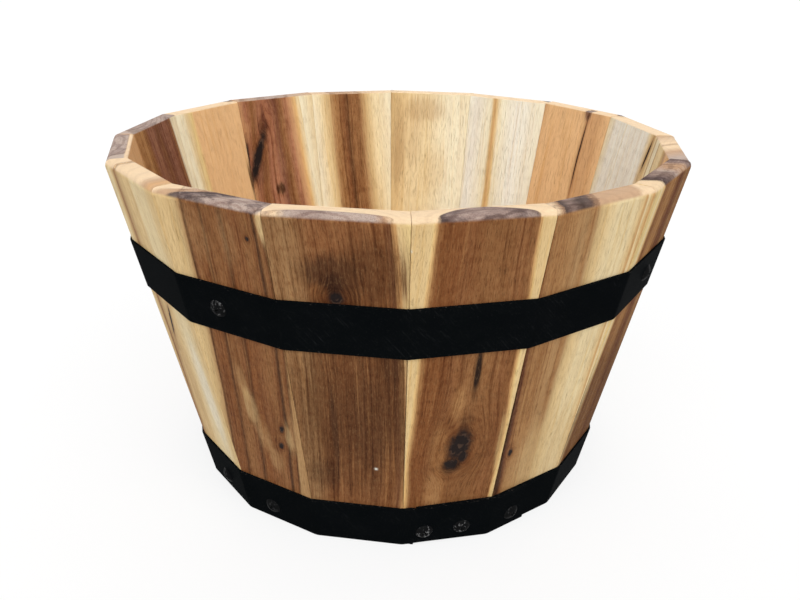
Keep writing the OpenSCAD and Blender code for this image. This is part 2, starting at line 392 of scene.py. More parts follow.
def facet_of(middle):
    """The number of the facet that a point lies on, and how far right of its middle."""
    turn = (pi / 2 + Vector((middle.x, middle.y)).angle_signed(Vector((1, 0)))) % (2 * pi)
    facet = int(turn / STEP) % STAVES
    flat = stave_turn(facet).inverted() @ middle
    return facet, flat.x


def fold_strap(name, low, screw_z, lap):
    """The skin of a strap that starts under its lap on one facet and ends over the next."""
    following = (lap + 1) % STAVES
    high = low + STRAP_H
    hidden = half_width(screw_z) - SCREWED_AT - THIRD_SCREW - HIDDEN_END
    step_x = hidden - END_GAP - STEP_RUN
    end_x = SCREWED_AT + OUTER_END - half_width(screw_z)
    let_go()
    bpy.ops.mesh.primitive_cone_add(vertices=STAVES, radius1=corner(low, STRAP_PLAY),
                                    radius2=corner(high, STRAP_PLAY), depth=STRAP_H,
                                    end_fill_type="NOTHING", location=(0, 0, (low + high) / 2))
    piece = fresh(name)
    for facet, places in ((lap, (step_x, step_x + STEP_RUN, hidden)), (following, (end_x,))):
        sideways = stave_turn(facet).to_3x3() @ Vector((1, 0, 0))
        for place in places:
            pick("faces", lambda middle, face: facet_of(middle)[0] == facet)
            saw(sideways * place, sideways, keep_all=True)

    def in_outer_end(middle, face):
        facet, x = facet_of(middle)
        return (facet == lap and x > step_x + STEP_RUN) or (facet == following and x < end_x)

    def in_the_gap(middle, face):
        facet, x = facet_of(middle)
        return facet == lap and step_x < x < hidden

    pick("faces", in_outer_end)
    bpy.ops.mesh.duplicate()
    bpy.ops.mesh.separate(type="SELECTED")
    pick("faces", in_the_gap)
    bpy.ops.mesh.delete(type="FACE")
    bpy.ops.object.mode_set(mode="OBJECT")
    outer = [other for other in bpy.context.selected_objects if other != piece][0]
    middle_r = corner((low + high) / 2, STRAP_PLAY)
    spread = 1 + LIFT / cos(LEAN) / cos(HALF) / middle_r
    outer.data.transform(Matrix.Diagonal((spread, spread, 1, 1)))
    bpy.context.view_layer.objects.active = piece
    bpy.ops.object.join()
    edit()

    def at_the_step(middle, edge):
        facet, x = facet_of(middle)
        upright = abs(along(edge).z) > MOSTLY
        return upright and facet == lap and step_x - NEAR_STEP < x < step_x + STEP_RUN + NEAR_STEP

    joined = pick("edges", at_the_step)
    bpy.ops.mesh.edge_face_add()
    folds = pick("edges", lambda middle, edge: edge.is_manifold and abs(along(edge).z) > MOSTLY
                 and edge.calc_face_angle() > LEAST_FOLD)
    bpy.ops.mesh.bevel(offset=FOLD_R * tan(FOLD / 2), segments=5, affect="EDGES")
    bpy.ops.mesh.select_all(action="SELECT")
    bpy.ops.mesh.normals_make_consistent(inside=False)
    let_go()
    print(name, "edges at the step:", joined, "folds:", folds, "faces:", len(piece.data.polygons))
    return piece


UPPER_LOW = 173 * MM
LOWER_LOW = 1 * MM
UPPER_SCREW_LONG = 15 * MM
LOWER_SCREW_LONG = 32 * MM
UPPER_SCREW_Z = UPPER_LOW + STRAP_H / 2
LOWER_REACH = LOWER_SCREW_LONG - LIFT
LOWER_SCREW_Z = FLOOR_Z + FLOOR_T / 2 - sin(LEAN) * (STAVE_T + LOWER_REACH) / 2
UPPER_LAP = 8
LOWER_LAP = 0
upper_strap = fold_strap("upper_strap", UPPER_LOW, UPPER_SCREW_Z, UPPER_LAP)
lower_strap = fold_strap("lower_strap", LOWER_LOW, LOWER_SCREW_Z, LOWER_LAP)

# %% [markdown]
# ## Thickness for the straps
# A Solidify modifier grows the skin outwards by the thickness of the steel. Its even offset keeps
# that thickness through every fold. Growing square to a leaning face can push a corner past the
# strap's height, so the strap is trimmed at both levels. Then doubled corners are welded, because
# a bevel can't work on them, and the edges are eased.

# %% Thicken the straps
STRAP_EASE = 0.35 * MM
HAIR = 0.02 * MM


def thicken(piece, low):
    """Gives a skin its thickness, trims it level and eases its edges."""
    modify(piece, "SOLIDIFY", thickness=STEEL_T, offset=1, use_even_offset=True)
    edit()
    saw_off((0, 0, low + STRAP_H + HAIR), (0, 0, 1))
    saw_off((0, 0, low - STEEL_T * sin(LEAN) - HAIR), (0, 0, -1))
    bpy.ops.mesh.select_all(action="SELECT")
    bpy.ops.mesh.remove_doubles(threshold=HAIR)
    finish_edges(piece, STRAP_EASE, 50, segments=3)
    print(piece.name, "faces:", len(piece.data.polygons))


thicken(upper_strap, UPPER_LOW)
thicken(lower_strap, LOWER_LOW)
settle(upper_strap, "upper_hoop")
settle(lower_strap, "lower_hoop")

# %% [markdown]
# ## A cross recess
# Every screw here is driven by a cross recess. It is taken out of the head with a Boolean, because
# its walls have to be straight while a dome stays round. The cutter is two crossed blades joined
# into one solid, and each blade is narrower at its lower end.

# %% Shape the cutter for the cross
CROSS_SLIMNESS = 5
CROSS_TAPER = 0.62


def combine(piece, operation, other):
    """Works another solid into a piece with a Boolean, and throws the other away."""
    modify(piece, "BOOLEAN", operation=operation, solver="EXACT", object=other)
    bpy.data.objects.remove(other)


def cutter_cross(width, depth, at_z):
    """A cross with its lower end tapered, to be taken out of a head whose top is at a height."""
    let_go()
    blades = []
    for turn in (0, pi / 2):
        bpy.ops.mesh.primitive_cube_add(size=1, location=(0, 0, at_z))
        blade = bpy.context.object
        blade.scale = (width, width / CROSS_SLIMNESS, 2 * depth)
        blade.rotation_euler = (0, 0, turn)
        blades.append(fresh("blade"))
        pick("faces", lambda middle, face: face.normal.z < -MOSTLY)
        pinch(CROSS_TAPER, at_z)
        bpy.ops.object.mode_set(mode="OBJECT")
    combine(blades[0], "UNION", blades[1])
    return blades[0]


print("cross cutter ready")

# %% [markdown]
# ## Domed screws
# A hoop screw has a low domed head. The dome is a slice off a ball, which `bisect` cuts. The shank
# is hidden in the wood, but it is there: anyone who lifts a strap away should find a whole screw.

# %% Model one screw of each kind
HEAD_D = 13 * MM
HEAD_H = 2.8 * MM
HEAD_EASE = 0.18 * MM
CROSS_W = 6.2 * MM
CROSS_D = 1.5 * MM
SHANK_D = 4.2 * MM
POINT_SHARE = 0.02


def add_shank(piece, diameter, length):
    """Joins a pointed shank that runs down from the underside of the head."""
    let_go()
    bpy.ops.mesh.primitive_cylinder_add(vertices=24, radius=diameter / 2, depth=length,
                                        location=(0, 0, -length / 2))
    fresh("shank")
    pick("faces", lambda middle, face: face.normal.z < -MOSTLY)
    bpy.ops.transform.translate(value=(0, 0, diameter))
    extrude(0, 0, -diameter)
    pinch(POINT_SHARE, -length)
    bpy.ops.object.mode_set(mode="OBJECT")
    piece.select_set(True)
    bpy.context.view_layer.objects.active = piece
    bpy.ops.object.join()


def domed_screw(name, length):
    """A screw along the upright axis, with the underside of its head at the origin."""
    let_go()
    dome_r = (HEAD_H ** 2 + HEAD_D ** 2 / 4) / (2 * HEAD_H)
    bpy.ops.mesh.primitive_uv_sphere_add(segments=48, ring_count=40, radius=dome_r,
                                         location=(0, 0, HEAD_H - dome_r))
    head = fresh(name)
    saw_off((0, 0, 0), (0, 0, -1))
    combine(head, "DIFFERENCE", cutter_cross(CROSS_W, CROSS_D, HEAD_H))
    finish_edges(head, HEAD_EASE, 30)
    add_shank(head, SHANK_D, length)
    return head


upper_screw = domed_screw("upper_screw_pattern", UPPER_SCREW_LONG)
lower_screw = domed_screw("lower_screw_pattern", LOWER_SCREW_LONG)
print("screw faces:", len(upper_screw.data.polygons), len(lower_screw.data.polygons))

# %% [markdown]
# ## Where the screws go
# The two ends of each strap are held by three screws, two on one side of the seam and one on
# the other. The rest were driven by eye, one on about every other stave, so each is a little off
# the middle of its stave and each cross stopped at a turn of its own. One list per strap gives
# the stave, the distance right of its middle and the layers of steel under the head.

# %% Drive the hoop screws
FIRST_CROSS = 20
CROSS_TURN = 37
SMOOTH_SCREW_BELOW = 40


def lap_screws(lap, z):
    """The marks of the three screws that hold a lap, two before the seam and one past it."""
    beside_seam = (half_width(z) - SCREWED_AT) / MM
    return [(lap, beside_seam - THIRD_SCREW / MM, 2), (lap, beside_seam, 2),
            ((lap + 1) % STAVES, -beside_seam, 2)]


def join_copies(pattern, name, places):
    """One piece made of a copy of a pattern at each place. The pattern is used up."""
    made = bmesh.new()
    for place in places:
        one = pattern.data.copy()
        one.transform(place)
        made.from_mesh(one)
        bpy.data.meshes.remove(one)
    piece = own_copy(pattern, name)
    made.to_mesh(piece.data)
    made.free()
    bpy.data.objects.remove(pattern)
    return piece


def screw_place(number, facet, x, layers, z):
    """Takes a screw from the origin to its mark, square to the leaning face of the stave."""
    on_face = Matrix.Translation((0, -outer_face(z), z)) @ Matrix.Rotation(LEAN, 4, "X")
    on_strap = Matrix.Translation((x * MM, -layers * LIFT, 0)) @ Matrix.Rotation(pi / 2, 4, "X")
    driven = Matrix.Rotation(radians(number * CROSS_TURN + FIRST_CROSS), 4, "Z")
    return stave_turn(facet) @ on_face @ on_strap @ driven


def drive(name, pattern, marks, z, node):
    """Copies a screw to its marks on the staves and joins the copies into one piece."""
    places = [screw_place(number, *mark, z) for number, mark in enumerate(marks)]
    piece = join_copies(pattern, name, places)
    take_up(piece)
    bpy.ops.object.shade_smooth_by_angle(angle=radians(SMOOTH_SCREW_BELOW))
    settle(piece, node)
    print(name, "screws:", len(marks), "faces:", len(piece.data.polygons))
    return piece


UPPER_MARKS = [(14, -9.1, 1), (2, 13, 1), (6, 0, 1), (10, 0, 1)] + lap_screws(UPPER_LAP, UPPER_SCREW_Z)
LOWER_MARKS = [(13, 0, 1), (14, -6.5, 1), (3, -13, 1), (5, 0, 1), (7, 3.9, 1), (9, 0, 1),
               (11, -5.2, 1)] + lap_screws(LOWER_LAP, LOWER_SCREW_Z)
upper_screws = drive("upper_screws", upper_screw, UPPER_MARKS, UPPER_SCREW_Z, "upper_hoop_screws")
lower_screws = drive("lower_screws", lower_screw, LOWER_MARKS, LOWER_SCREW_Z, "lower_hoop_screws")

# %% [markdown]
# ## The floor
# Five boards fill a sixteen-sided outline that fits the groove in the staves. Each board starts
# as a flat drum with that outline and is sawn on both sides, so its ends follow the ring without
# any fitting. The three middle boards have two drain holes each, bored with a Boolean. The edges
# are eased last, so that the rims of the holes are eased too.

# %% Saw the floor boards
BOARDS = 5
BOARD_GAP = 2 * MM
FLOOR_R = GROOVE_R - BOARD_PLAY
BOARD_PITCH = (2 * FLOOR_R + BOARD_GAP) / BOARDS
BOARD_EASE = 0.7 * MM
DRAIN_R = 5 * MM
DRAIN_Y = 32 * MM
DRILL_TOP = 40 * MM
ROUND_SIDES = 32


def drum(name, radius, low, high, sides):
    """A many-sided block between two heights, with a corner to the front, in edit mode."""
    let_go()
    bpy.ops.mesh.primitive_cylinder_add(vertices=sides, radius=radius, depth=high - low,
                                        location=(0, 0, (low + high) / 2))
    return fresh(name)


def bore_drain(piece, x, y):
    """Bores an upright hole right through a board."""
    drill = drum("drill", DRAIN_R, 0, DRILL_TOP, ROUND_SIDES)
    let_go()
    drill.data.transform(Matrix.Translation((x, y, 0)))
    combine(piece, "DIFFERENCE", drill)


def board_middle(number):
    """How far right of the barrel's axis a board's middle lies."""
    return (number - (BOARDS - 1) / 2) * BOARD_PITCH


boards = []
for number in range(BOARDS):
    x = board_middle(number)
    board = drum(f"acacia_board_{number + 1}", FLOOR_R / cos(HALF), FLOOR_Z, FLOOR_Z + FLOOR_T, STAVES)
    for side in (-1, 1):
        saw_off((x + side * (BOARD_PITCH - BOARD_GAP) / 2, 0, 0), (side, 0, 0))
    if 0 < number < BOARDS - 1:
        for side in (-1, 1):
            bore_drain(board, x, side * DRAIN_Y)
    finish_edges(board, BOARD_EASE, 60)
    settle(board, f"floor_board_{number + 1}")
    boards.append(board)
    print(board.name, "faces:", len(board.data.polygons))

# %% [markdown]
# ## Battens under the floor
# Two battens run across the undersides of the boards and tie them together. Each is a plain
# planed stick, sawn at both ends, with a cone sunk into its underside for each of five screws.

# %% Battens
BATTEN_T = 8 * MM
BATTEN_Z = FLOOR_Z - BATTEN_T
BATTEN_Y = 60 * MM
BATTEN_W = 28 * MM
BATTEN_PLAY = 2 * MM
BATTEN_HALF = sqrt(inner_face(BATTEN_Z) ** 2 - (BATTEN_Y + BATTEN_W / 2) ** 2) - BATTEN_PLAY
BATTEN_EASE = 0.6 * MM
FROM_END = 14 * MM
CSK_D = 7.5 * MM
CSK_SHANK = 3.5 * MM
CSK_HEAD = (CSK_D - CSK_SHANK) / 2
CSK_PLAY = 0.1 * MM
SINK_BELOW = 1 * MM
SINK_NARROW = 0.5


def pinch_top(share):
    """In edit mode, narrows the top face about the axis."""
    pick("faces", lambda middle, face: face.normal.z > MOSTLY)
    pinch(share, 0)


def batten_screw_x(number):
    """A screw goes through the middle of each board, but never too near a batten's end."""
    furthest = BATTEN_HALF - FROM_END
    return max(-furthest, min(furthest, board_middle(number)))


battens = []
for side, end in ((-1, "front"), (1, "rear")):
    let_go()
    bpy.ops.mesh.primitive_cube_add(size=1, location=(0, side * BATTEN_Y, (BATTEN_Z + FLOOR_Z) / 2))
    bpy.context.object.scale = (2 * BATTEN_HALF, BATTEN_W, BATTEN_T)
    batten = fresh(f"acacia_batten_{end}")
    for number in range(BOARDS):
        sink = drum("sink", CSK_D / 2 + CSK_PLAY, BATTEN_Z - SINK_BELOW,
                    BATTEN_Z + CSK_HEAD + CSK_PLAY, ROUND_SIDES)
        pinch_top(SINK_NARROW)
        let_go()
        sink.data.transform(Matrix.Translation((batten_screw_x(number), side * BATTEN_Y, 0)))
        combine(batten, "DIFFERENCE", sink)
    finish_edges(batten, BATTEN_EASE, 60)
    settle(batten, f"floor_batten_{end}")
    battens.append(batten)
print("battens:", len(battens), "half length", round(BATTEN_HALF / MM, 1), "mm")

# %% [markdown]
# ## Screws for the battens
# The countersunk screws point up, from the battens into the boards. The head of such a screw is a
# cone that pulls in level with the wood. One is modelled from a drum: its top is pinched to the
# shank's width, drawn up to make the shank, and drawn up and pinched once more for the point. Ten
# copies of it, each with its cross at a turn of its own, are then joined into one piece.

# %% Drive the batten screws
CSK_LONG = 18 * MM
CSK_POINT = 4 * MM
CSK_EASE = 0.1 * MM
CSK_CROSS_W = 3.7 * MM
CSK_CROSS_D = 1.3 * MM
CSK_POINT_SHARE = 0.05

csk = drum("csk_pattern", CSK_D / 2, 0, CSK_HEAD, ROUND_SIDES)
pinch_top(CSK_SHANK / CSK_D)
extrude(0, 0, CSK_LONG - CSK_HEAD - CSK_POINT)
extrude(0, 0, CSK_POINT)
pinch_top(CSK_POINT_SHARE)
combine(csk, "DIFFERENCE", cutter_cross(CSK_CROSS_W, CSK_CROSS_D, 0))
finish_edges(csk, CSK_EASE, 40)
places = []
for side in (-1, 1):
    for number in range(BOARDS):
        seat = Matrix.Translation((batten_screw_x(number), side * BATTEN_Y, BATTEN_Z + CSK_PLAY))
        places.append(seat @ Matrix.Rotation(radians(31 * number + 12 * side), 4, "Z"))
batten_screws = join_copies(csk, "batten_screws_zinc", places)
settle(batten_screws, "batten_screws")
print("batten screws:", len(places), "faces:", len(batten_screws.data.polygons))

# %% [markdown]
# ## Writing materials as sums
# A wood like this takes many small sums: distances, masks and streaks. Wired by hand they would
# be a knot of Math nodes, so a `Wire` stands for a socket and adds the right Math node when it
# is added, multiplied or divided.

# %% Wires
class Wire:
    """A value in a finish. Sums written with wires add the nodes that work them out."""

    def __init__(self, finish, socket):
        self.finish = finish
        self.socket = socket

    def __add__(self, other):
        return self.finish.math("ADD", self, other)

    def __sub__(self, other):
        return self.finish.math("SUBTRACT", self, other)

    def __rsub__(self, other):
        return self.finish.math("SUBTRACT", other, self)

    def __mul__(self, other):
        return self.finish.math("MULTIPLY", self, other)

    def __truediv__(self, other):
        return self.finish.math("DIVIDE", self, other)

    def __pow__(self, other):
        return self.finish.math("POWER", self, other)

    __radd__ = __add__
    __rmul__ = __mul__


print("wires ready")

# %% [markdown]
# ## A material under construction
# A `Finish` is the material being made. Its one `node` method takes a node's type, its settings
# and what goes into its sockets, and all its other methods are built on that one.

# %% Finishes
TO_MM = (1 / MM, 1 / MM, 1 / MM)


class Finish:
    """A material under construction."""

    def __init__(self, name):
        self.material = bpy.data.materials.new(name)
        self.material.use_nodes = True
        self.tree = self.material.node_tree
        self.tree.nodes.clear()

    def node(self, kind, settings, sockets, output=0):
        """Adds a node. Its settings are set first, then its sockets get values or wires."""
        made = self.tree.nodes.new("ShaderNode" + kind)
        for key, value in settings.items():
            if key == "stops":
                self.set_stops(made.color_ramp, value)
            else:
                setattr(made, key, value)
        for key, value in sockets.items():
            if isinstance(value, Wire):
                self.tree.links.new(value.socket, made.inputs[key])
            else:
                made.inputs[key].default_value = value
        return Wire(self, made.outputs[output])

    def set_stops(self, ramp, stops):
        while len(ramp.elements) < len(stops):
            ramp.elements.new(1.0)
        for element, (place, colour) in zip(ramp.elements, stops):
            element.position = place
            element.color = (*colour, 1)

    def mapped(self, vector=None, **sockets):
        """A point after a Mapping node: the piece's own point, unless another is given."""
        if vector is None:
            vector = self.node("TexCoord", {}, {}, "Object")
        return self.node("Mapping", {"vector_type": "POINT"}, {"Vector": vector, **sockets})

    def in_millimetres(self):
        return self.parts(self.mapped(Scale=TO_MM))

    def math(self, operation, first, second=0.0):
        return self.node("Math", {"operation": operation}, {0: first, 1: second})

    def parts(self, vector):
        """The x, y and z of a vector."""
        split = self.node("SeparateXYZ", {}, {"Vector": vector})
        return [Wire(self, output) for output in split.socket.node.outputs]

    def point(self, x, y, z):
        return self.node("CombineXYZ", {}, {"X": x, "Y": y, "Z": z})

    def noise(self, vector, detail=2.0, roughness=0.5):
        return self.node("TexNoise", {}, {"Vector": vector, "Scale": 1.0, "Detail": detail,
                                          "Roughness": roughness})

    def ease(self, value, low, high):
        """0 below low and 1 above high, with a smooth change between them."""
        return self.node("MapRange", {"interpolation_type": "SMOOTHSTEP"},
                         {"Value": value, "From Min": low, "From Max": high})

    def mix(self, factor, under, over, blend="MIX"):
        """One colour over another, by a factor."""
        sockets = {"Factor": factor}
        for key, colour in ((6, under), (7, over)):
            sockets[key] = colour if isinstance(colour, Wire) else (*colour, 1)
        return self.node("Mix", {"data_type": "RGBA", "blend_type": blend}, sockets, 2)

    def shade(self, factor, colour, by):
        """A colour multiplied by another, by a factor."""
        return self.mix(factor, colour, by, "MULTIPLY")

    def paint(self, colour, roughness, height, depth, **constants):
        """Ends the finish with a Principled shader and a bump of so much depth in metres."""
        bump = self.node("Bump", {}, {"Height": height, "Distance": depth, "Strength": 1.0})
        sockets = {"Base Color": colour, "Roughness": roughness, "Normal": bump}
        sockets.update({key.replace("_", " "): value for key, value in constants.items()})
        shader = self.node("BsdfPrincipled", {}, sockets)
        self.node_out(shader)
        return self.material

    def seen(self):
        """1 for camera, mirror and clear rays, 0 for the rays that only carry light."""
        path = self.node("LightPath", {}, {}).socket.node
        rays = ("Is Camera Ray", "Is Glossy Ray", "Is Transmission Ray")
        camera_ray, glossy_ray, clear_ray = [Wire(self, path.outputs[ray]) for ray in rays]
        return self.math("MAXIMUM", camera_ray, self.math("MAXIMUM", glossy_ray, clear_ray))

    def node_out(self, shader):
        end = self.tree.nodes.new("ShaderNodeOutputMaterial")
        self.tree.links.new(shader.socket, end.inputs["Surface"])


print("finishes ready")

# %% [markdown]
# ## Acacia, cut from a log
# Acacia has cream sapwood beside red-brown heartwood, and one stave often shows both. A flat
# picture of wood would break at every edge. Here each stave gets a solid pattern, read from the
# point in the board, so that a band on the face carries on over the rounded rim and comes out
# on the inside. The tones are mixed first and given names, as on a paint shelf.

# %% Tones of the wood
TONES = {
    "bone": (0.93, 0.90, 0.79), "ivory": (0.93, 0.85, 0.62), "cream": (0.87, 0.70, 0.41),
    "butter": (0.88, 0.67, 0.31), "straw": (0.80, 0.58, 0.29), "sand": (0.69, 0.49, 0.24),
    "amber": (0.82, 0.53, 0.23), "honey": (0.65, 0.37, 0.15), "tan": (0.50, 0.30, 0.135),
    "toffee": (0.44, 0.230, 0.090), "orange": (0.57, 0.255, 0.085), "fawn": (0.36, 0.200, 0.088),
    "copper": (0.32, 0.150, 0.058), "rust": (0.285, 0.122, 0.047), "chestnut": (0.26, 0.102, 0.035),
    "russet": (0.20, 0.078, 0.034), "plum": (0.20, 0.112, 0.083), "walnut": (0.13, 0.054, 0.021),
    "umber": (0.068, 0.028, 0.013), "soot": (0.014, 0.009, 0.008),
    "peach": (0.85, 0.54, 0.275), "clay": (0.70, 0.41, 0.20), "brick": (0.47, 0.214, 0.120),
    "wine": (0.28, 0.120, 0.074), "shell": (0.88, 0.66, 0.43), "rose": (0.58, 0.37, 0.23),
    "mauve": (0.36, 0.265, 0.230), "slate": (0.19, 0.140, 0.130), "dusk": (0.09, 0.068, 0.068),
    "ash": (0.52, 0.41, 0.35),
}

print("tones:", len(TONES))

# %% [markdown]
# ## Lay the grain
# Mapping nodes first lay the board flat: across, depth and along, in millimetres. The wood then
# needs one number at each point, `across`: how far to the side its fibre ran at half the board's
# height. It leans, bends, fans and slants as the board's plan says, and noise makes it wander a
# little. Whatever is painted by it follows the grain. `patch` is noise that ignores the grain, and
# `grain` is noise drawn out along it.

# %% Lay the grain
MIDDLE_UP = 138.0
HALF_RISE = 130.0
FAN = 0.143
SLANT = 0.15
WANDER = 8.0
RIPPLE = 1.6
SEED_STEP = 7.31
BOARD_DEPTH = STAVE_T / MM


class Wood(Finish):
    """The finish of one board, with the wires that the cells below share."""

    def __init__(self, name, seed, laid_flat, plan, inward):
        """laid_flat wires the board's own x, y and z. inward says which face shows."""
        super().__init__(name)
        self.plan = plan
        self.seed = seed * SEED_STEP
        self.x, self.y, self.z = laid_flat(self)
        rise = (self.z - MIDDLE_UP) / HALF_RISE
        if "fan" in plan:
            self.x = self.x * (1 - rise * FAN)
        self.wander = self.patch(0.012, 0.012, 0.006, 2, 0.5) - 0.5
        rippled = self.point(self.x * 0.05, self.y * 0.05 + self.seed, self.z * 0.022)
        self.ripple = self.noise(rippled, 2, 0.5) - 0.5
        lean, bend = plan.get("lay", (0.0, 0.0))
        laid = self.x - rise * lean - rise * rise * bend
        under_face = self.y - (BOARD_DEPTH if inward else 0.0)
        self.across = (laid + self.wander * WANDER + self.ripple * RIPPLE
                       + under_face * plan.get("slant", SLANT))
        self.shown = self.ease(self.y, 5.0, 11.0) if inward else self.ease(self.y, 11.0, 5.0)

    def patch(self, across, depth, along, detail, roughness):
        place = self.point(self.x * across + self.seed, self.y * depth, self.z * along)
        return self.noise(place, detail, roughness)

    def grain(self, fine, along, detail, roughness):
        place = self.point(self.across * fine + self.seed, self.y * fine, self.z * along + self.seed)
        return self.noise(place, detail, roughness)

    def spot(self, side, height, wide, tall):
        """1 in the middle of a soft spot, fading to 0 round it."""
        aside = (self.x - side) / wide
        up = (self.z - height / cos(LEAN)) / tall
        return self.math("EXPONENT", (aside * aside + up * up) * -1.0)

    def darken(self, colour, mask, on_heart, on_all, tint):
        """Shades a colour by a mask, so much on the heartwood and so much on all the wood."""
        return self.shade(mask * (self.heart * on_heart + on_all), colour, tint)


print("grain ready")

# %% [markdown]
# ## Knots
# A knot is the root of a branch. The fibres of the trunk grew round it, so near a knot `across`
# is pushed away from its middle, and the bands and streaks bend by themselves. The knot is
# near-black with a ragged edge and fine whorls, and the wood round it is darker.

# %% Bend the grain and paint the knots
KNOT_PUSH = 0.9
KNOT_REACH = -0.22
RAGGEDNESS = 1.5


def bend_round_knots(wood):
    """Bends the grain. Also wires how far out of the nearest knot a point lies, with 1 at its
    edge, and the shade round the knots."""
    place = wood.point(wood.across * 0.30 + wood.seed, wood.y * 0.2, wood.z * 0.16)
    ragged = wood.noise(place, 3, 0.65) - 0.5
    straight = wood.across
    rings = []
    halos = []
    for x, height, wide, tall, tilt, *own in wood.plan["knots"]:
        up = wood.z - height / cos(LEAN)
        aside = (straight - up * tilt - x) / wide
        far = aside * aside + (up / tall) * (up / tall)
        near = wood.math("EXPONENT", far * KNOT_REACH)
        wood.across = wood.across - aside * near * (wide * KNOT_PUSH)
        rings.append(wood.math("SQRT", far) + ragged * (own[0] if own else RAGGEDNESS))
        halos.append(near)
    wood.knot_ring = reduce(lambda one, other: wood.math("MINIMUM", one, other), rings)
    wood.knot_body = wood.ease(wood.knot_ring, 1.30, 0.55) * wood.shown
    wood.knot_halo = reduce(lambda one, other: wood.math("MAXIMUM", one, other), halos) * wood.shown


def paint_knots(wood, colour):
    """Darkens the wood round the knots, and paints the knots with their whorls."""
    whorl = wood.ease(wood.math("SINE", wood.knot_ring * 12.0), 0.1, 0.9)
    lit = whorl * wood.ease(wood.curl, 0.44, 0.60) * 0.55
    knot_tone = wood.mix(lit, TONES["soot"], (0.105, 0.060, 0.040))
    colour = wood.shade(wood.knot_halo * 0.72, colour, (0.50, 0.34, 0.25))
    colour = wood.shade(wood.knot_halo * whorl * 0.55, colour, (0.50, 0.36, 0.30))
    return wood.mix(wood.knot_body * 0.99, colour, knot_tone)


print("knots ready")

# %% [markdown]
# ## Bands and stains
# A ramp paints the bands by `across`. Some staves are heartwood outside and sapwood inside, and
# the line between the two follows the round of the log. Stains are soft spots, broken up by the
# streaks, so they look soaked into the wood. How light the result is tells heart from sap.

# %% Paint the bands and stains
HALF_BAND = 72.0
LOG_CURVE = 900.0


def ramp_across(wood, bands, tip=0.0):
    """Tones at their places across the board. tip slants them with the depth."""
    stops = [((place + HALF_BAND) / (2 * HALF_BAND), TONES[tone]) for place, tone in bands]
    place = (wood.across + wood.feather + wood.y * tip + HALF_BAND) / (2 * HALF_BAND)
    return wood.node("ValToRGB", {"stops": stops}, {"Fac": place})


def paint_bands(wood):
    """Paints the bands, the pale wood behind them and the stains."""
    wood.feather = (wood.grain(0.9, 0.02, 2, 0.6) - 0.5) * 3.0
    wood.streak = wood.grain(0.42, 0.008, 3, 0.62)
    colour = ramp_across(wood, wood.plan["bands"])
    wood.pale_inside = 0.0
    if "inside" in wood.plan:
        depth, curve, tone = wood.plan["inside"]
        hollow = wood.y + wood.across * wood.across * (curve / LOG_CURVE) + wood.wander * 4.0
        wood.pale_inside = wood.ease(hollow, depth - 0.8, depth + 0.8)
        colour = wood.mix(wood.pale_inside, colour, TONES[tone])
    for side, height, wide, tall, tone, share in wood.plan.get("stains", ()):
        stain = wood.spot(side, height, wide, tall) * (wood.streak * 2.4 - 0.2)
        colour = wood.mix(wood.ease(stain, 0.10, 0.75) * wood.shown * share, colour, TONES[tone])
    lightness = wood.node("VectorMath", {"operation": "DOT_PRODUCT"},
                          {0: colour, 1: (0.3, 0.6, 0.1)}, "Value")
    wood.heart = wood.ease(lightness, 0.42, 0.22)
    return colour


print("bands ready")

# %% [markdown]
# ## Figure of the wood
# Over the bands come the marks of growth: streaks, clouds, curl, fibres, the late wood that ends
# each year's ring, and pores. Rings are circles round the pith, the middle of the log, which lies
# somewhere outside the board. Most marks are stronger on the heartwood than on the sapwood.

# %% Paint the figure
def late_wood(wood, cloud):
    """The dark line of each ring, made uneven by the same noises as the grain."""
    pith_x, pith_y = wood.plan["pith"]
    from_pith = wood.math("SQRT", (wood.across - pith_x) ** 2 + (wood.y + pith_y - wood.z * 0.05) ** 2)
    uneven = (cloud - 0.5) * 9.0 + (wood.wander + wood.ripple) * 5.0
    ring = wood.math("SINE", (from_pith + uneven) * (2 * pi / wood.plan["ring"]))
    return wood.ease(ring, 0.35, 1.0)


def paint_streaks(wood, colour):
    """Dark and pale streaks on the heartwood, and faint warm ones on the sapwood."""
    heart = wood.heart
    strength = wood.plan.get("streak", 1.0)
    dark = wood.ease(wood.streak, 0.50, 0.70) * heart * (0.80 * strength)
    pale = wood.ease(wood.streak, 0.46, 0.28) * heart * (0.42 * strength)
    colour = wood.shade(dark, colour, (0.50, 0.38, 0.31))
    colour = wood.mix(pale, colour, TONES["toffee"])
    return wood.shade(wood.ease(wood.streak, 0.50, 0.74) * (1 - heart) * 0.50, colour, (0.86, 0.72, 0.48))


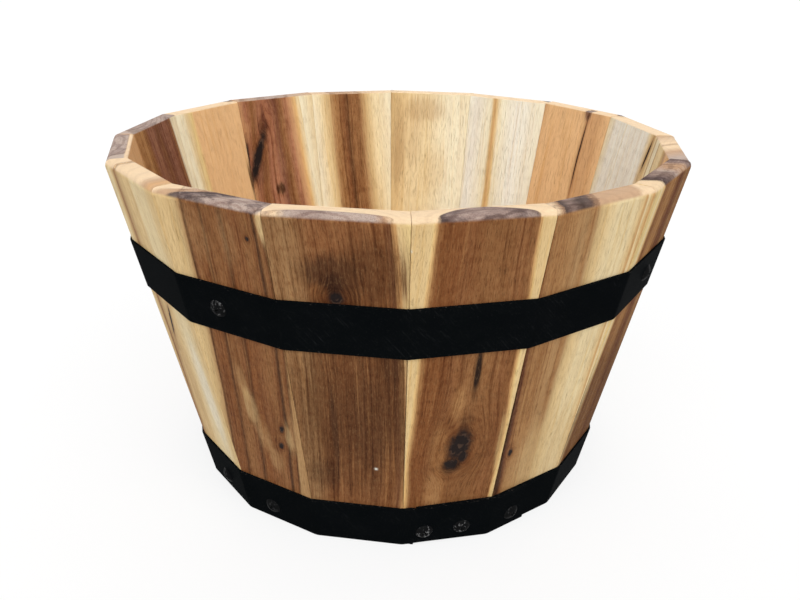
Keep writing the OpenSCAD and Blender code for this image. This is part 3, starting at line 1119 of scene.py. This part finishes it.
def paint_figure(wood, colour):
    """Paints the marks of growth, from the broadest to the finest."""
    porous = wood.plan.get("pores", 0.24)
    broad = wood.grain(0.11, 0.004, 2, 0.5)
    cloud = wood.patch(0.03, 0.03, 0.02, 3, 0.55)
    mottle = wood.grain(0.85, 0.24, 3, 0.7)
    wood.curl = wood.patch(0.10, 0.10, 0.16, 2, 0.5)
    wood.fibre = wood.grain(2.4, 0.035, 2, 0.6)
    wood.late = late_wood(wood, cloud)
    wood.pore = wood.ease(wood.grain(4.2, 0.11, 1, 0.5), 0.60, 0.72)
    colour = paint_streaks(wood, colour)
    colour = wood.darken(colour, wood.ease(broad, 0.46, 0.66), 0.24, 0.16, (0.80, 0.66, 0.56))
    colour = wood.darken(colour, wood.ease(cloud, 0.44, 0.70), 0.16, 0.14, (0.78, 0.74, 0.70))
    colour = wood.darken(colour, wood.ease(wood.curl, 0.44, 0.66), 0.34, 0.06, (0.74, 0.64, 0.58))
    colour = wood.darken(colour, wood.ease(wood.fibre, 0.42, 0.70), 0.30, 0.10, (0.56, 0.46, 0.38))
    colour = wood.darken(colour, wood.ease(mottle, 0.50, 0.66), 0.46, porous / 2, (0.66, 0.50, 0.46))
    colour = wood.mix(wood.ease(mottle, 0.48, 0.30) * wood.heart * 0.15, colour, TONES["tan"])
    colour = wood.darken(colour, wood.late, 0.20, 0.10, (0.62, 0.50, 0.40))
    pore_tone = wood.mix(wood.heart, (0.60, 0.53, 0.44), (0.40, 0.30, 0.24))
    colour = wood.darken(colour, wood.pore, 0.22, porous, pore_tone)
    for side, height, size in wood.plan.get("flecks", ()):
        colour = wood.mix(wood.spot(side, height, size, size), colour, (0.95, 0.92, 0.80))
    return colour


print("figure ready")

# %% [markdown]
# ## Sawn ends
# The sawn ends are greyer and darker than the faces, and the saw has burnt them in places. They
# are found by the normal: whatever faces along the grain is an end. On a stave the end colour also
# runs down the outer part of the rim's rounded curve. A second ramp paints them where the plan
# gives tones for the ends.

# %% Paint the sawn ends
ALONG_X = 0
ALONG_Y = 1
ALONG_Z = 2


def find_ends(wood, end_axis):
    """1 on what faces along the grain, which runs along one of the three axes or near it."""
    normal = wood.parts(wood.node("NewGeometry", {}, {}, "Normal"))[end_axis]
    end = wood.ease(wood.math("ABSOLUTE", normal), 0.32, 0.85)
    if end_axis != ALONG_Z:
        return end
    over_rim = wood.z * cos(LEAN) + wood.y * sin(LEAN) - HEIGHT / MM
    return wood.math("MAXIMUM", end, wood.ease(over_rim, -4.4, -2.4) * wood.ease(wood.y, 9.0, 5.0))


def end_colour(wood):
    """The greyer, scorched colour of the sawn ends."""
    plan = wood.plan
    heart = wood.heart
    if "ends" in plan:
        tones = ramp_across(wood, plan["ends"], plan.get("end_slant", 0.0))
        colour = wood.mix(wood.pale_inside, tones, TONES["shell"])
    else:
        grey = wood.mix(wood.streak, TONES["slate"], TONES["mauve"])
        colour = wood.mix(heart, TONES["shell"], grey)
    scorch = wood.patch(0.09, 0.16, 0.10, 3, 0.62)
    burnt = plan.get("scorch", 0.66)
    colour = wood.shade(heart * (1 - heart) * 2.4, colour, (0.45, 0.38, 0.36))
    colour = wood.darken(colour, wood.ease(scorch, 0.48, 0.62), burnt, 0.05, (0.34, 0.31, 0.34))
    colour = wood.mix(wood.ease(scorch, 0.46, 0.34) * heart * 0.45, colour, (0.56, 0.43, 0.36))
    colour = wood.darken(colour, wood.ease(wood.speck, 0.44, 0.66), 0.40, 0.12, (0.55, 0.48, 0.46))
    return wood.darken(colour, wood.late, 0.35, 0.12, (0.55, 0.46, 0.44))


print("ends ready")

# %% [markdown]
# ## The whole finish
# One function now runs through the steps in the order in which they lie on the wood. The fibres
# stand a little proud and the pores and knots are sunk, by fractions of a millimetre, which a
# bump can give without any more faces. `sheen` is the IOR: sanded, unvarnished wood is dull, so
# it is far below that of varnish.

# %% Put the acacia together
GRAIN_DEPTH = 0.22 * MM
DULL = 1.16


def acacia(name, seed, laid_flat, plan, end_axis=ALONG_Z, inward=False):
    """A solid acacia pattern for one board."""
    wood = Wood(name, seed, laid_flat, plan, inward)
    if "knots" in plan:
        bend_round_knots(wood)
    colour = paint_figure(wood, paint_bands(wood))
    if "knots" in plan:
        colour = paint_knots(wood, colour)
    end = find_ends(wood, end_axis)
    wood.speck = wood.patch(1.3, 1.3, 1.3, 2, 0.6)
    colour = wood.mix(end * 0.94, colour, end_colour(wood))
    roughness = wood.fibre * 0.16 + wood.pore * 0.12 + end * 0.12 + 0.47
    height = wood.fibre * 0.5 - wood.pore * 0.9 + wood.late * 0.25 + wood.speck * end * 0.5
    if "knots" in plan:
        height = height - wood.knot_body * 0.8
    return wood.paint(colour, roughness, height, GRAIN_DEPTH, IOR=plan.get("sheen", DULL))


print("acacia ready")

# %% [markdown]
# ## A plan for each board
# No two boards are alike, so each gets a short plan of its own, as if it were picked from the
# timber rack. `bands` are the tones across the board at half its height, in millimetres from
# its middle, and `ends` the tones of its sawn ends. `lay` leans and bends the bands, `fan` spreads
# them with the taper and `slant` tips them from face to face, as `end_slant` does for the ends.
# `inside` says how deep the heartwood goes before pale wood takes over, and how that line curves.
# `knots` give place, width, height and tilt, and some give how ragged the edge is. `stains` give
# a place, a size, a tone and how strong it is, and `flecks` a place and a size. `pith` and `ring`
# set the year rings, `streak` and `pores` the finer grain, `scorch` how dark the saw burnt the
# ends, and `sheen` the gloss. Seven staves show their outer faces in the photograph, and the first
# plans follow them.

# %% Plans of the staves seen from outside
OUTER_PLANS = {
    1: {"lay": (2.5, 0), "inside": (15.0, 12, "straw"), "pith": (6, 60), "ring": 9,
        "ends": ((-31, "shell"), (-29, "dusk"), (-24, "slate"), (-12, "mauve"), (12, "mauve"),
                 (24, "slate"), (30, "dusk"), (32, "shell")),
        "knots": ((2.0, 93.5, 9.0, 14.5, 0.1, 0.95), (5.4, 83, 4.4, 6.6, 0.0, 0.9),
                  (-1.8, 76.5, 6.0, 5.0, 0.1, 1.5)),
        "stains": ((5, 108, 5, 16, "umber", 0.6), (-2, 75, 7.5, 8, "soot", 0.8),
                   (-12, 92, 7, 24, "honey", 0.42), (-2, 130, 5, 16, "honey", 0.4),
                   (-12, 52, 8, 22, "honey", 0.4), (8, 150, 4, 20, "walnut", 0.5),
                   (33, 90, 3.4, 34, "butter", 0.35), (8, 158, 2.6, 17, "soot", 0.9)),
        "flecks": ((-43, 249.3, 0.9),),
        # The copper and tan at the left edge are painted shade of the seam with stave 16.
        "bands": ((-48, "copper"), (-44, "tan"), (-40, "butter"), (-35, "butter"), (-32.5, "amber"),
                  (-30.5, "toffee"), (-28, "chestnut"), (-20, "chestnut"), (-10, "rust"), (2, "copper"),
                  (14, "copper"), (24, "rust"), (30, "copper"), (32, "honey"), (34, "butter"),
                  (48, "cream"))},
    2: {"slant": -0.4, "lay": (-4.2, 0), "fan": True, "pith": (-30, 50), "ring": 8,
        "streak": 1.25,
        "ends": ((-31, "shell"), (-29, "rose"), (-27, "dusk"), (-22, "mauve"), (-14, "dusk"),
                 (-8, "slate"), (-5, "rose"), (28, "rose"), (32, "shell")),
        "knots": ((-32.7, 78, 2.2, 4, 0.0),),
        "stains": ((12, 60, 34, 46, "sand", 0.5),),
        # The umber along the left edge, kept there by the lay and the fan, is painted shade of the seam
        # with stave 1.
        "bands": ((-48, "umber"), (-38.5, "umber"), (-36, "russet"), (-34.5, "copper"), (-31, "toffee"),
                  (-20, "toffee"), (-10, "tan"), (-5, "toffee"), (-2.5, "tan"), (1, "sand"), (5, "straw"),
                  (14, "cream"), (27, "cream"), (33, "straw"), (35, "honey"), (36, "cream"),
                  (38, "straw"), (39.5, "honey"), (48, "straw"))},
    3: {"slant": 0.5, "lay": (3, 0), "pith": (6, 5), "ring": 6, "sheen": 1.05,
        "scorch": 0.4,
        "ends": ((-30, "shell"), (-26, "dusk"), (-18, "slate"), (-8, "mauve"), (2, "ash"), (12, "rose"),
                 (24, "rose"), (32, "mauve"), (40, "slate")),
        "stains": ((0, 70, 52, 74, "walnut", 0.65),),
        "bands": ((-48, "sand"), (-40, "butter"), (-33, "cream"), (-29, "amber"), (-26.5, "tan"),
                  (-23, "rust"), (-19, "copper"), (-12, "toffee"), (-2, "toffee"), (5, "copper"),
                  (11, "russet"), (20, "russet"), (27, "fawn"), (38, "copper"), (48, "fawn"))},
    13: {"slant": 0.6, "lay": (-3, 0), "inside": (13.4, 0, "clay"), "pith": (-5, 60),
         "ring": 7, "scorch": 0.35,
         "ends": ((-42, "rose"), (-36, "mauve"), (-22, "ash"), (18, "ash"), (34, "mauve"),
                  (40, "ash")),
         "knots": ((-14, 120, 4, 6, 0.1),),
         "bands": ((-48, "peach"), (-42, "clay"), (-32, "clay"), (-26, "copper"), (-10, "copper"),
                   (8, "chestnut"), (30, "russet"), (37, "tan"), (40, "cream"), (48, "cream"))},
    14: {"lay": (4, 0), "pith": (-60, 40), "ring": 12,
         "ends": ((-30, "shell"), (-28, "peach"), (-26, "shell"), (16, "shell"), (26, "rose"),
                  (34, "clay"), (44, "rose")),
         "knots": ((-15, 152, 1.8, 14, 0.28),),
         "stains": ((-12, 100, 7, 50, "tan", 0.4), (16, 100, 10, 50, "bone", 0.5)),
         "bands": ((-48, "sand"), (-40, "cream"), (-35, "straw"), (-30, "tan"), (-28.2, "copper"),
                   (-26.5, "tan"), (-20, "sand"), (-12, "straw"), (-5, "straw"), (4, "cream"),
                   (22, "cream"), (32, "straw"), (42, "straw"), (48, "sand"))},
    15: {"slant": 0.5, "lay": (12, -4), "pith": (10, 60), "ring": 6, "streak": 1.25,
         "end_slant": -2.3,
         "ends": ((-54, "shell"), (-47, "rose"), (-40, "rose"), (-37, "dusk"), (-30, "slate"),
                  (-24, "dusk"), (-12, "ash"), (0, "mauve"), (8, "ash"), (20, "ash"), (26, "mauve"),
                  (29, "slate"), (31, "ash"), (34, "shell")),
         "knots": ((25, 99, 2.2, 3.5, 0.1), (22.5, 82, 2.2, 3.5, 0.1), (21.8, 249, 1.6, 1.6, 0.0)),
         "stains": ((-6.5, 132, 4.5, 15, "tan", 0.7), (-4, 110, 6, 17, "sand", 0.5),
                    (2, 86, 6, 17, "tan", 0.7), (8, 66, 6, 12, "tan", 0.6),
                    (26, 92, 4, 14, "sand", 0.5), (33, 95, 5, 24, "tan", 0.6),
                    (-12, 246, 9, 22, "tan", 0.4), (13, 246, 7, 20, "tan", 0.3),
                    (43, 262, 3.6, 15, "straw", 0.8)),
         "bands": ((-48, "straw"), (-38, "straw"), (-33, "sand"), (-28, "tan"), (-26, "walnut"),
                   (-24, "rust"), (-16, "chestnut"), (-13, "walnut"), (-11, "copper"), (-5, "copper"),
                   (0, "rust"), (3, "walnut"), (6, "chestnut"), (15, "rust"), (22, "copper"),
                   (27, "rust"), (29, "umber"), (31.5, "copper"), (34, "rust"), (35.6, "walnut"),
                   (36.8, "tan"), (42, "tan"), (48, "tan"))},
    16: {"lay": (2.4, -5.5), "inside": (7.0, 2.5, "cream"), "pith": (-4, 60), "ring": 8,
         "scorch": 0.3,
         "ends": ((-38, "shell"), (-31, "shell"), (-25, "ash"), (-12, "mauve"), (4, "ash"), (26, "ash"),
                  (32, "rose"), (37, "shell")),
         "knots": ((-2.6, 213.4, 5.2, 4.8, 0.0, 0.9),),
         "stains": ((-3, 224, 6, 8, "soot", 0.95), (-4, 231, 20, 14, "umber", 0.8),
                    (-14, 217, 5, 6, "orange", 0.3), (10, 216, 5, 6, "orange", 0.3),
                    (22, 232, 22, 26, "walnut", 0.7), (-4, 214, 17, 10, "umber", 0.45),
                    (6, 118, 50, 78, "walnut", 0.7), (14, 116, 26, 40, "umber", 0.35),
                    (-11, 112, 2.2, 44, "umber", 0.7), (31, 175, 8, 28, "umber", 0.6),
                    (-22, 66, 12, 14, "umber", 0.4)),
         "flecks": ((15.7, 74.7, 1.0),),
         "bands": ((-48, "tan"), (-41, "copper"), (-38, "fawn"), (-24, "fawn"), (-14, "rust"),
                   (8, "rust"), (20, "rust"), (27, "chestnut"), (31, "rust"), (34, "russet"),
                   (36, "toffee"), (38, "honey"), (40, "straw"), (48, "butter"))},
}
print("outer plans:", len(OUTER_PLANS))

# %% [markdown]
# ## The staves seen from inside
# The other nine staves show their inner faces, so their bands are counted on that side. What
# can't be seen, their outer faces, carries on from the same bands in the same manner.

# %% Plans of the staves seen from inside
INNER_PLANS = {
    4: {"slant": 0.8, "pith": (0, 45), "ring": 5, "pores": 0.3,
        "ends": ((-40, "ash"), (-20, "rose"), (-6, "shell"), (0, "shell"), (3, "rose"), (8, "shell"),
                 (40, "rose")),
        "bands": ((-72, "rust"), (-56, "copper"), (-50, "tan"), (-28, "peach"), (-20, "rose"),
                  (-12, "sand"), (-6, "cream"), (12, "cream"), (15, "tan"), (17, "ivory"), (28, "ivory"),
                  (31, "tan"), (33, "cream"), (48, "ivory"))},
    5: {"slant": -1.5, "pith": (60, 40), "ring": 12, "pores": 0.36,
        "knots": ((-36, 249, 1.3, 13, -0.146, 0.5),),
        "bands": ((-48, "straw"), (-40, "straw"), (-33, "cream"), (-27, "bone"), (28, "bone"),
                  (36, "ivory"), (42, "cream"), (48, "butter"), (53, "tan"), (56, "rust"),
                  (72, "russet"))},
    6: {"slant": 1.0, "pith": (-10, 60), "ring": 8, "pores": 0.34,
        "knots": ((-14.8, 229, 0.8, 34, -0.04, 0.6),),
        "stains": ((-14.5, 266, 4, 8, "plum", 0.8),),
        "bands": ((-66, "fawn"), (-52, "copper"), (-46, "clay"), (-38, "peach"), (-26, "clay"),
                  (-16, "clay"), (-10, "peach"), (5, "peach"), (22, "peach"), (34, "peach"), (40, "clay"),
                  (48, "peach"))},
    7: {"slant": 1.8, "lay": (3, 0), "pith": (50, 80), "ring": 14,
        "pores": 0.06,
        "bands": ((-72, "chestnut"), (-63, "rust"), (-57, "copper"), (-53, "honey"), (-49, "ivory"),
                  (-15, "bone"), (2, "ivory"), (6, "straw"), (8.5, "honey"), (10.5, "sand"),
                  (13, "ivory"), (30, "bone"), (48, "ivory"))},
    8: {"slant": -1.6, "pith": (0, 40), "ring": 6, "pores": 0.2,
        "stains": ((6, 250, 22, 12, "tan", 0.4), (30, 215, 7, 46, "fawn", 0.42),
                   (14, 225, 8, 34, "tan", 0.3), (-6, 190, 14, 26, "sand", 0.4)),
        "bands": ((-48, "cream"), (-36, "ivory"), (-22, "ivory"), (2, "cream"), (16, "cream"),
                  (28, "straw"), (38, "sand"), (42, "tan"), (47, "cream"), (54, "sand"), (57, "copper"),
                  (63, "chestnut"), (72, "russet"))},
    9: {"slant": 0.4, "lay": (8, 0), "pith": (0, 50), "ring": 7,
        "scorch": 0.15, "ends": ((-48, "shell"), (0, "rose"), (48, "shell")),
        "bands": ((-48, "ivory"), (-28, "cream"), (-22, "sand"), (-16, "tan"), (-11, "copper"),
                  (-4, "copper"), (-1, "walnut"), (3, "rust"), (11, "toffee"), (15, "tan"), (18, "sand"),
                  (24, "cream"), (32, "ivory"), (48, "cream"))},
    10: {"slant": -0.5, "lay": (6, 0), "pith": (20, 55), "ring": 6,
         "scorch": 0.15, "ends": ((-48, "rose"), (0, "ash"), (48, "rose")),
         "knots": ((23.8, 213, 5.0, 27, -0.44, 0.7), (35.4, 208, 2.2, 24, -0.1, 0.8),
                   (39.2, 256, 2.8, 4.2, 0.0, 0.4)),
         "stains": ((7.8, 181, 5, 6, "umber", 0.9), (18, 240, 5, 12, "umber", 0.6),
                    (31, 212, 3, 8, "rose", 0.6), (30, 204, 9, 18, "plum", 0.4),
                    (16, 250, 2, 12, "wine", 0.7), (38, 238, 6, 12, "clay", 0.6),
                    (40, 164, 3.4, 14, "umber", 0.9)),
         "bands": ((-48, "cream"), (-33, "ivory"), (-29, "cream"), (-26, "amber"), (-23, "clay"),
                   (-16, "brick"), (-8, "copper"), (0, "wine"), (5, "brick"), (13, "brick"),
                   (22, "copper"), (30, "brick"), (38, "clay"), (48, "tan"))},
    11: {"slant": 1.4, "lay": (5, 0), "pith": (-20, 70), "ring": 10,
         "streak": 0.5,
         "stains": ((-37.5, 194, 3.2, 20, "umber", 0.9), (-38.5, 165, 3.8, 16, "umber", 1.0)),
         "bands": ((-72, "russet"), (-59, "rust"), (-53, "toffee"), (-48, "peach"), (-30, "peach"),
                   (0, "peach"), (12, "peach"), (16, "butter"), (21, "cream"), (27, "ivory"),
                   (48, "ivory"))},
    12: {"slant": -0.8, "lay": (8, 0), "pith": (10, 50), "ring": 5,
         "scorch": 0.35,
         "ends": ((-40, "mauve"), (-20, "ash"), (8, "mauve"), (24, "ash"), (40, "ash")),
         "bands": ((-72, "cream"), (-37, "ivory"), (-34, "rust"), (-28, "wine"), (-14, "wine"),
                   (-7, "russet"), (0, "wine"), (8, "wine"), (12, "rust"), (16, "toffee"),
                   (29, "toffee"), (33, "clay"), (40, "peach"), (72, "cream"))},
}
print("inner plans:", len(INNER_PLANS))

# %% [markdown]
# ## Dress the staves
# Two Mapping nodes lay a stave flat. The first turns it to the front and counts in millimetres,
# and the second stands its leaning face upright.

# %% Lay the staves flat and dress them
def laid_as_stave(index):
    """Wires that lay a stave flat: across, depth under the outer face, and up the face."""

    def wires(wood):
        front = wood.mapped(Rotation=(0, 0, -(index + 0.5) * STEP), Scale=TO_MM,
                            Location=(0, FOOT_FACE / MM, 0))
        return wood.parts(wood.mapped(front, Rotation=(-LEAN, 0, 0)))

    return wires


def dress(piece, material):
    """Gives a piece its finish."""
    piece.data.materials.clear()
    piece.data.materials.append(material)


for index, stave in enumerate(staves):
    number = index + 1
    inward = number in INNER_PLANS
    plan = INNER_PLANS[number] if inward else OUTER_PLANS[number]
    dress(stave, acacia(f"acacia_{number:02d}", number, laid_as_stave(index), plan, inward=inward))
print("stave finishes:", len(staves))

# %% [markdown]
# ## Floor boards and battens
# The floor is plainer wood from the same rack. The same solid pattern does for it: only the
# laying flat differs, since a board lies on its face and runs from front to back, while a batten
# runs from left to right.

# %% Plans of the floor
BOARD_TONES = (("chestnut", "copper", "fawn", "sand"), ("straw", "cream", "tan", "honey"),
               ("fawn", "chestnut", "copper", "tan"), ("tan", "sand", "straw", "fawn"),
               ("honey", "toffee", "chestnut", "walnut"))
BATTEN_TONES = ("tan", "straw", "fawn", "cream")
TONE_PLACES = (-48, -16, 8, 48)
BOARD_SEED = 21
BATTEN_SEED = 30


def laid_as_board(shift, turn):
    """Wires for a level board: across from its middle, depth from its top, and along."""

    def wires(wood):
        flat = wood.mapped(Rotation=(0, 0, turn), Scale=TO_MM, Location=(shift / MM, 0, 0))
        across, along, up = wood.parts(flat)
        return across, (FLOOR_Z + FLOOR_T) / MM - up, along + MIDDLE_UP

    return wires


def floor_plan(tones):
    """A plain plan with four tones across the board."""
    return {"pith": (0, 60), "ring": 9, "streak": 0.8, "bands": tuple(zip(TONE_PLACES, tones))}


for number, board in enumerate(boards):
    flat = laid_as_board(-board_middle(number), 0)
    plan = floor_plan(BOARD_TONES[number])
    dress(board, acacia(f"acacia_floor_{number + 1}", BOARD_SEED + number, flat, plan, ALONG_Y))
for side, batten in zip((-1, 1), battens):
    flat = laid_as_board(-side * BATTEN_Y, -pi / 2)
    plan = floor_plan(BATTEN_TONES)
    dress(batten, acacia(batten.name + "_wood", BATTEN_SEED + side, flat, plan, ALONG_X))
print("floor finishes:", len(boards) + len(battens))

# %% [markdown]
# ## Black steel and zinc
# The straps are painted satin black, with a faint orange peel from the spray gun, rubbed marks
# on the front and bare specks along their edges. The screw heads were painted too, and the
# driver has worn a few of them. Their bared spots are also painted brighter as glints on the
# front screws, most of all on the lower lap. Matt black paint reflects little, so its IOR is set
# close to that of air: at the usual 1.5 a pale room turns it grey. The zinc screws under the
# floor are bare metal.

# %% Steel finishes
STRAP_RELIEF = 0.08 * MM
SCREW_RELIEF = 0.04 * MM
ZINC_RELIEF = 0.05 * MM


def strap_paint(name, low, seed):
    """Black paint for a strap whose lower edge is at a height, with chips along its edges."""
    f = Finish(name)
    x, y, z = f.in_millimetres()
    peel = f.noise(f.point(x * 1.1, y * 1.1, z * 1.1), 2, 0.5)
    cloud = f.noise(f.point(x * 0.03 + seed, y * 0.03, z * 0.05), 3, 0.6)
    rubbed = f.noise(f.point((x + z * 0.8) * 1.3 + seed, y * 0.1, (z - x * 0.8) * 0.05), 3, 0.7)
    front = f.ease(y, -120.0, -190.0)
    rub = f.ease(rubbed, 0.58, 0.74) * f.ease(cloud, 0.42, 0.6) * (front * 0.8 + 0.2)
    off_edge = f.math("MINIMUM", z - low / MM, (low + STRAP_H) / MM - z)
    chipped = f.noise(f.point(x * 0.55 + seed, y * 0.55, z * 0.8), 3, 0.7)
    chip = f.ease(chipped - off_edge * 0.035, 0.60, 0.66)
    dust = f.ease(f.noise(f.point(x * 2.4, y * 2.4 + seed, z * 2.4), 1, 0.5), 0.70, 0.76)
    colour = f.mix(cloud, (0.0022, 0.0030, 0.0036), (0.0042, 0.0050, 0.0056))
    colour = f.mix(rub * 0.7, colour, (0.028, 0.030, 0.031))
    colour = f.mix(chip * 0.55, colour, (0.085, 0.072, 0.062))
    colour = f.mix(dust * 0.25, colour, (0.10, 0.10, 0.10))
    roughness = cloud * 0.16 + rub * 0.14 + peel * 0.10 + chip * 0.2 + 0.30
    height = peel * 0.6 + cloud * 0.6 - chip * 1.2 - rub * 0.3
    return f.paint(colour, roughness, height, STRAP_RELIEF, IOR=1.013)


def screw_paint(name, seed, left, right, bare_and_glint_grey):
    """Black paint, rubbed through on the front screws between two distances right of the middle.
    The last argument is how bright the bared steel is painted there: partly wear, partly a painted glint."""
    f = Finish(name)
    x, y, z = f.in_millimetres()
    grime = f.noise(f.point(x * 0.5 + seed, y * 0.5, z * 0.5), 3, 0.6)
    # The bared spots are painted as brighter metal on the front screws: partly wear, partly painted
    # glints.
    wear_and_glint_place = f.ease(x, left - 2, left + 2) * f.ease(x, right + 2, right - 2) * f.ease(y, 0.0, -20.0)
    wear_and_glint = f.noise(f.point(x * 0.45, y * 0.45 + seed, z * 0.45), 3, 0.65)
    wear_and_glint = f.ease(wear_and_glint, 0.54, 0.66) * (wear_and_glint_place * 0.88 + 0.12)
    colour = f.mix(grime, (0.003, 0.0035, 0.004), (0.010, 0.010, 0.010))
    colour = f.mix(wear_and_glint * 0.8, colour, (bare_and_glint_grey, bare_and_glint_grey, bare_and_glint_grey))
    return f.paint(colour, grime * 0.18 + 0.24, grime, SCREW_RELIEF, Metallic=wear_and_glint * 0.8, IOR=1.05)


def zinc(name):
    """Bare plated metal with a dull bloom."""
    f = Finish(name)
    x, y, z = f.in_millimetres()
    bloom = f.noise(f.point(x * 0.7, y * 0.7, z * 0.7), 3, 0.6)
    dull = f.noise(f.point(x * 3.0, y * 3.0, z * 3.0), 2, 0.6)
    colour = f.mix(bloom, (0.50, 0.49, 0.44), (0.68, 0.68, 0.66))
    return f.paint(colour, dull * 0.2 + 0.3, dull, ZINC_RELIEF, Metallic=bloom * 0.1 + 0.9)


dress(upper_strap, strap_paint("black_strap_upper", UPPER_LOW, 3.0))
dress(lower_strap, strap_paint("black_strap_lower", LOWER_LOW, 9.0))
# The lower screws' bared spots are painted brightest: wear with painted glints on top.
dress(upper_screws, screw_paint("black_screw_upper", 2.0, -160.0, -40.0, 0.09))
dress(lower_screws, screw_paint("black_screw_lower", 5.0, 0.0, 62.0, 0.24))
dress(batten_screws, zinc("zinc_screw"))
print("steel finishes: 5")

# %% [markdown]
# ## Floor, light and white background
# The photograph is cut out on white, with even daylight. A broad pale floor carries the object's
# soft shadow. Three wide suns and a pale sky add up to plain light, so that a tone comes out about
# as it was written. Only the camera and mirror rays see a pure white sky and floor, through Light
# Path, so the background is white without any more light on the wood. For every other ray the
# floor is greyer, or its bounce would light the outside more than the inside.

# %% Stage and lamps
SKY_LIGHT = 0.68
FRONT_LIGHT = 1.05
BACK_LIGHT = 0.45
SUN_UP = 42
SUN_ASIDE = 22
FLOOR_SIZE = 60
FLOOR_SEEN = (0.90, 0.90, 0.90)
FLOOR_LIT = (0.50, 0.50, 0.50)
FLOOR_GLOW = 0.78
GLOW_FROM = 150 * MM
GLOW_FULL = 163 * MM

let_go()
bpy.ops.mesh.primitive_plane_add(size=FLOOR_SIZE, location=(0, 0, 0))
ground = bpy.context.object
ground.name = "pale_floor"
f = Finish("pale_floor_paint")
seen = f.seen()
lit = f.node("BsdfDiffuse", {}, {"Color": f.mix(seen, FLOOR_LIT, FLOOR_SEEN)})
glow = f.node("Emission", {}, {"Color": (1, 1, 1, 1), "Strength": 1.0})
east, north = f.parts(f.node("TexCoord", {}, {}, "Object"))[:2]
open_floor = f.ease(f.math("SQRT", east * east + north * north), GLOW_FROM, GLOW_FULL)
f.node_out(f.node("MixShader", {}, {0: seen * open_floor * FLOOR_GLOW, 1: lit, 2: glow}))
dress(ground, f.material)


class Sky(Finish):
    """The world, wired in the same way as a material."""

    def __init__(self):
        world = bpy.data.worlds.new("studio")
        bpy.context.scene.world = world
        world.use_nodes = True
        self.tree = world.node_tree
        self.tree.nodes.clear()


sky = Sky()
brightness = sky.seen() * (1 - SKY_LIGHT) + SKY_LIGHT
pale = sky.node("Background", {}, {"Color": (1, 1, 1, 1), "Strength": brightness})
world_out = sky.tree.nodes.new("ShaderNodeOutputWorld")
sky.tree.links.new(pale.socket, world_out.inputs["Surface"])


def sun(name, round_from_front, up_from_ground, strength, spread):
    """A wide sun that shines from a direction, counted anticlockwise from the front."""
    bpy.ops.object.light_add(type="SUN", location=(0, 0, 2))
    lamp = bpy.context.object
    lamp.name = name
    lamp.data.energy = strength
    lamp.data.angle = radians(spread)
    lamp.rotation_euler = (radians(90 - up_from_ground), 0, radians(round_from_front))


sun("right", SUN_ASIDE, SUN_UP, FRONT_LIGHT, 50)
sun("left", -SUN_ASIDE, SUN_UP, FRONT_LIGHT, 50)
sun("back", 180, SUN_UP, BACK_LIGHT, 70)
bpy.context.scene.view_settings.view_transform = "Standard"
print("lamps placed")

# %% [markdown]
# ## The last update
# The view layer is updated once more. The dressed barrel must keep to the solids' box.

# %% Update the view layer
bpy.context.view_layer.update()
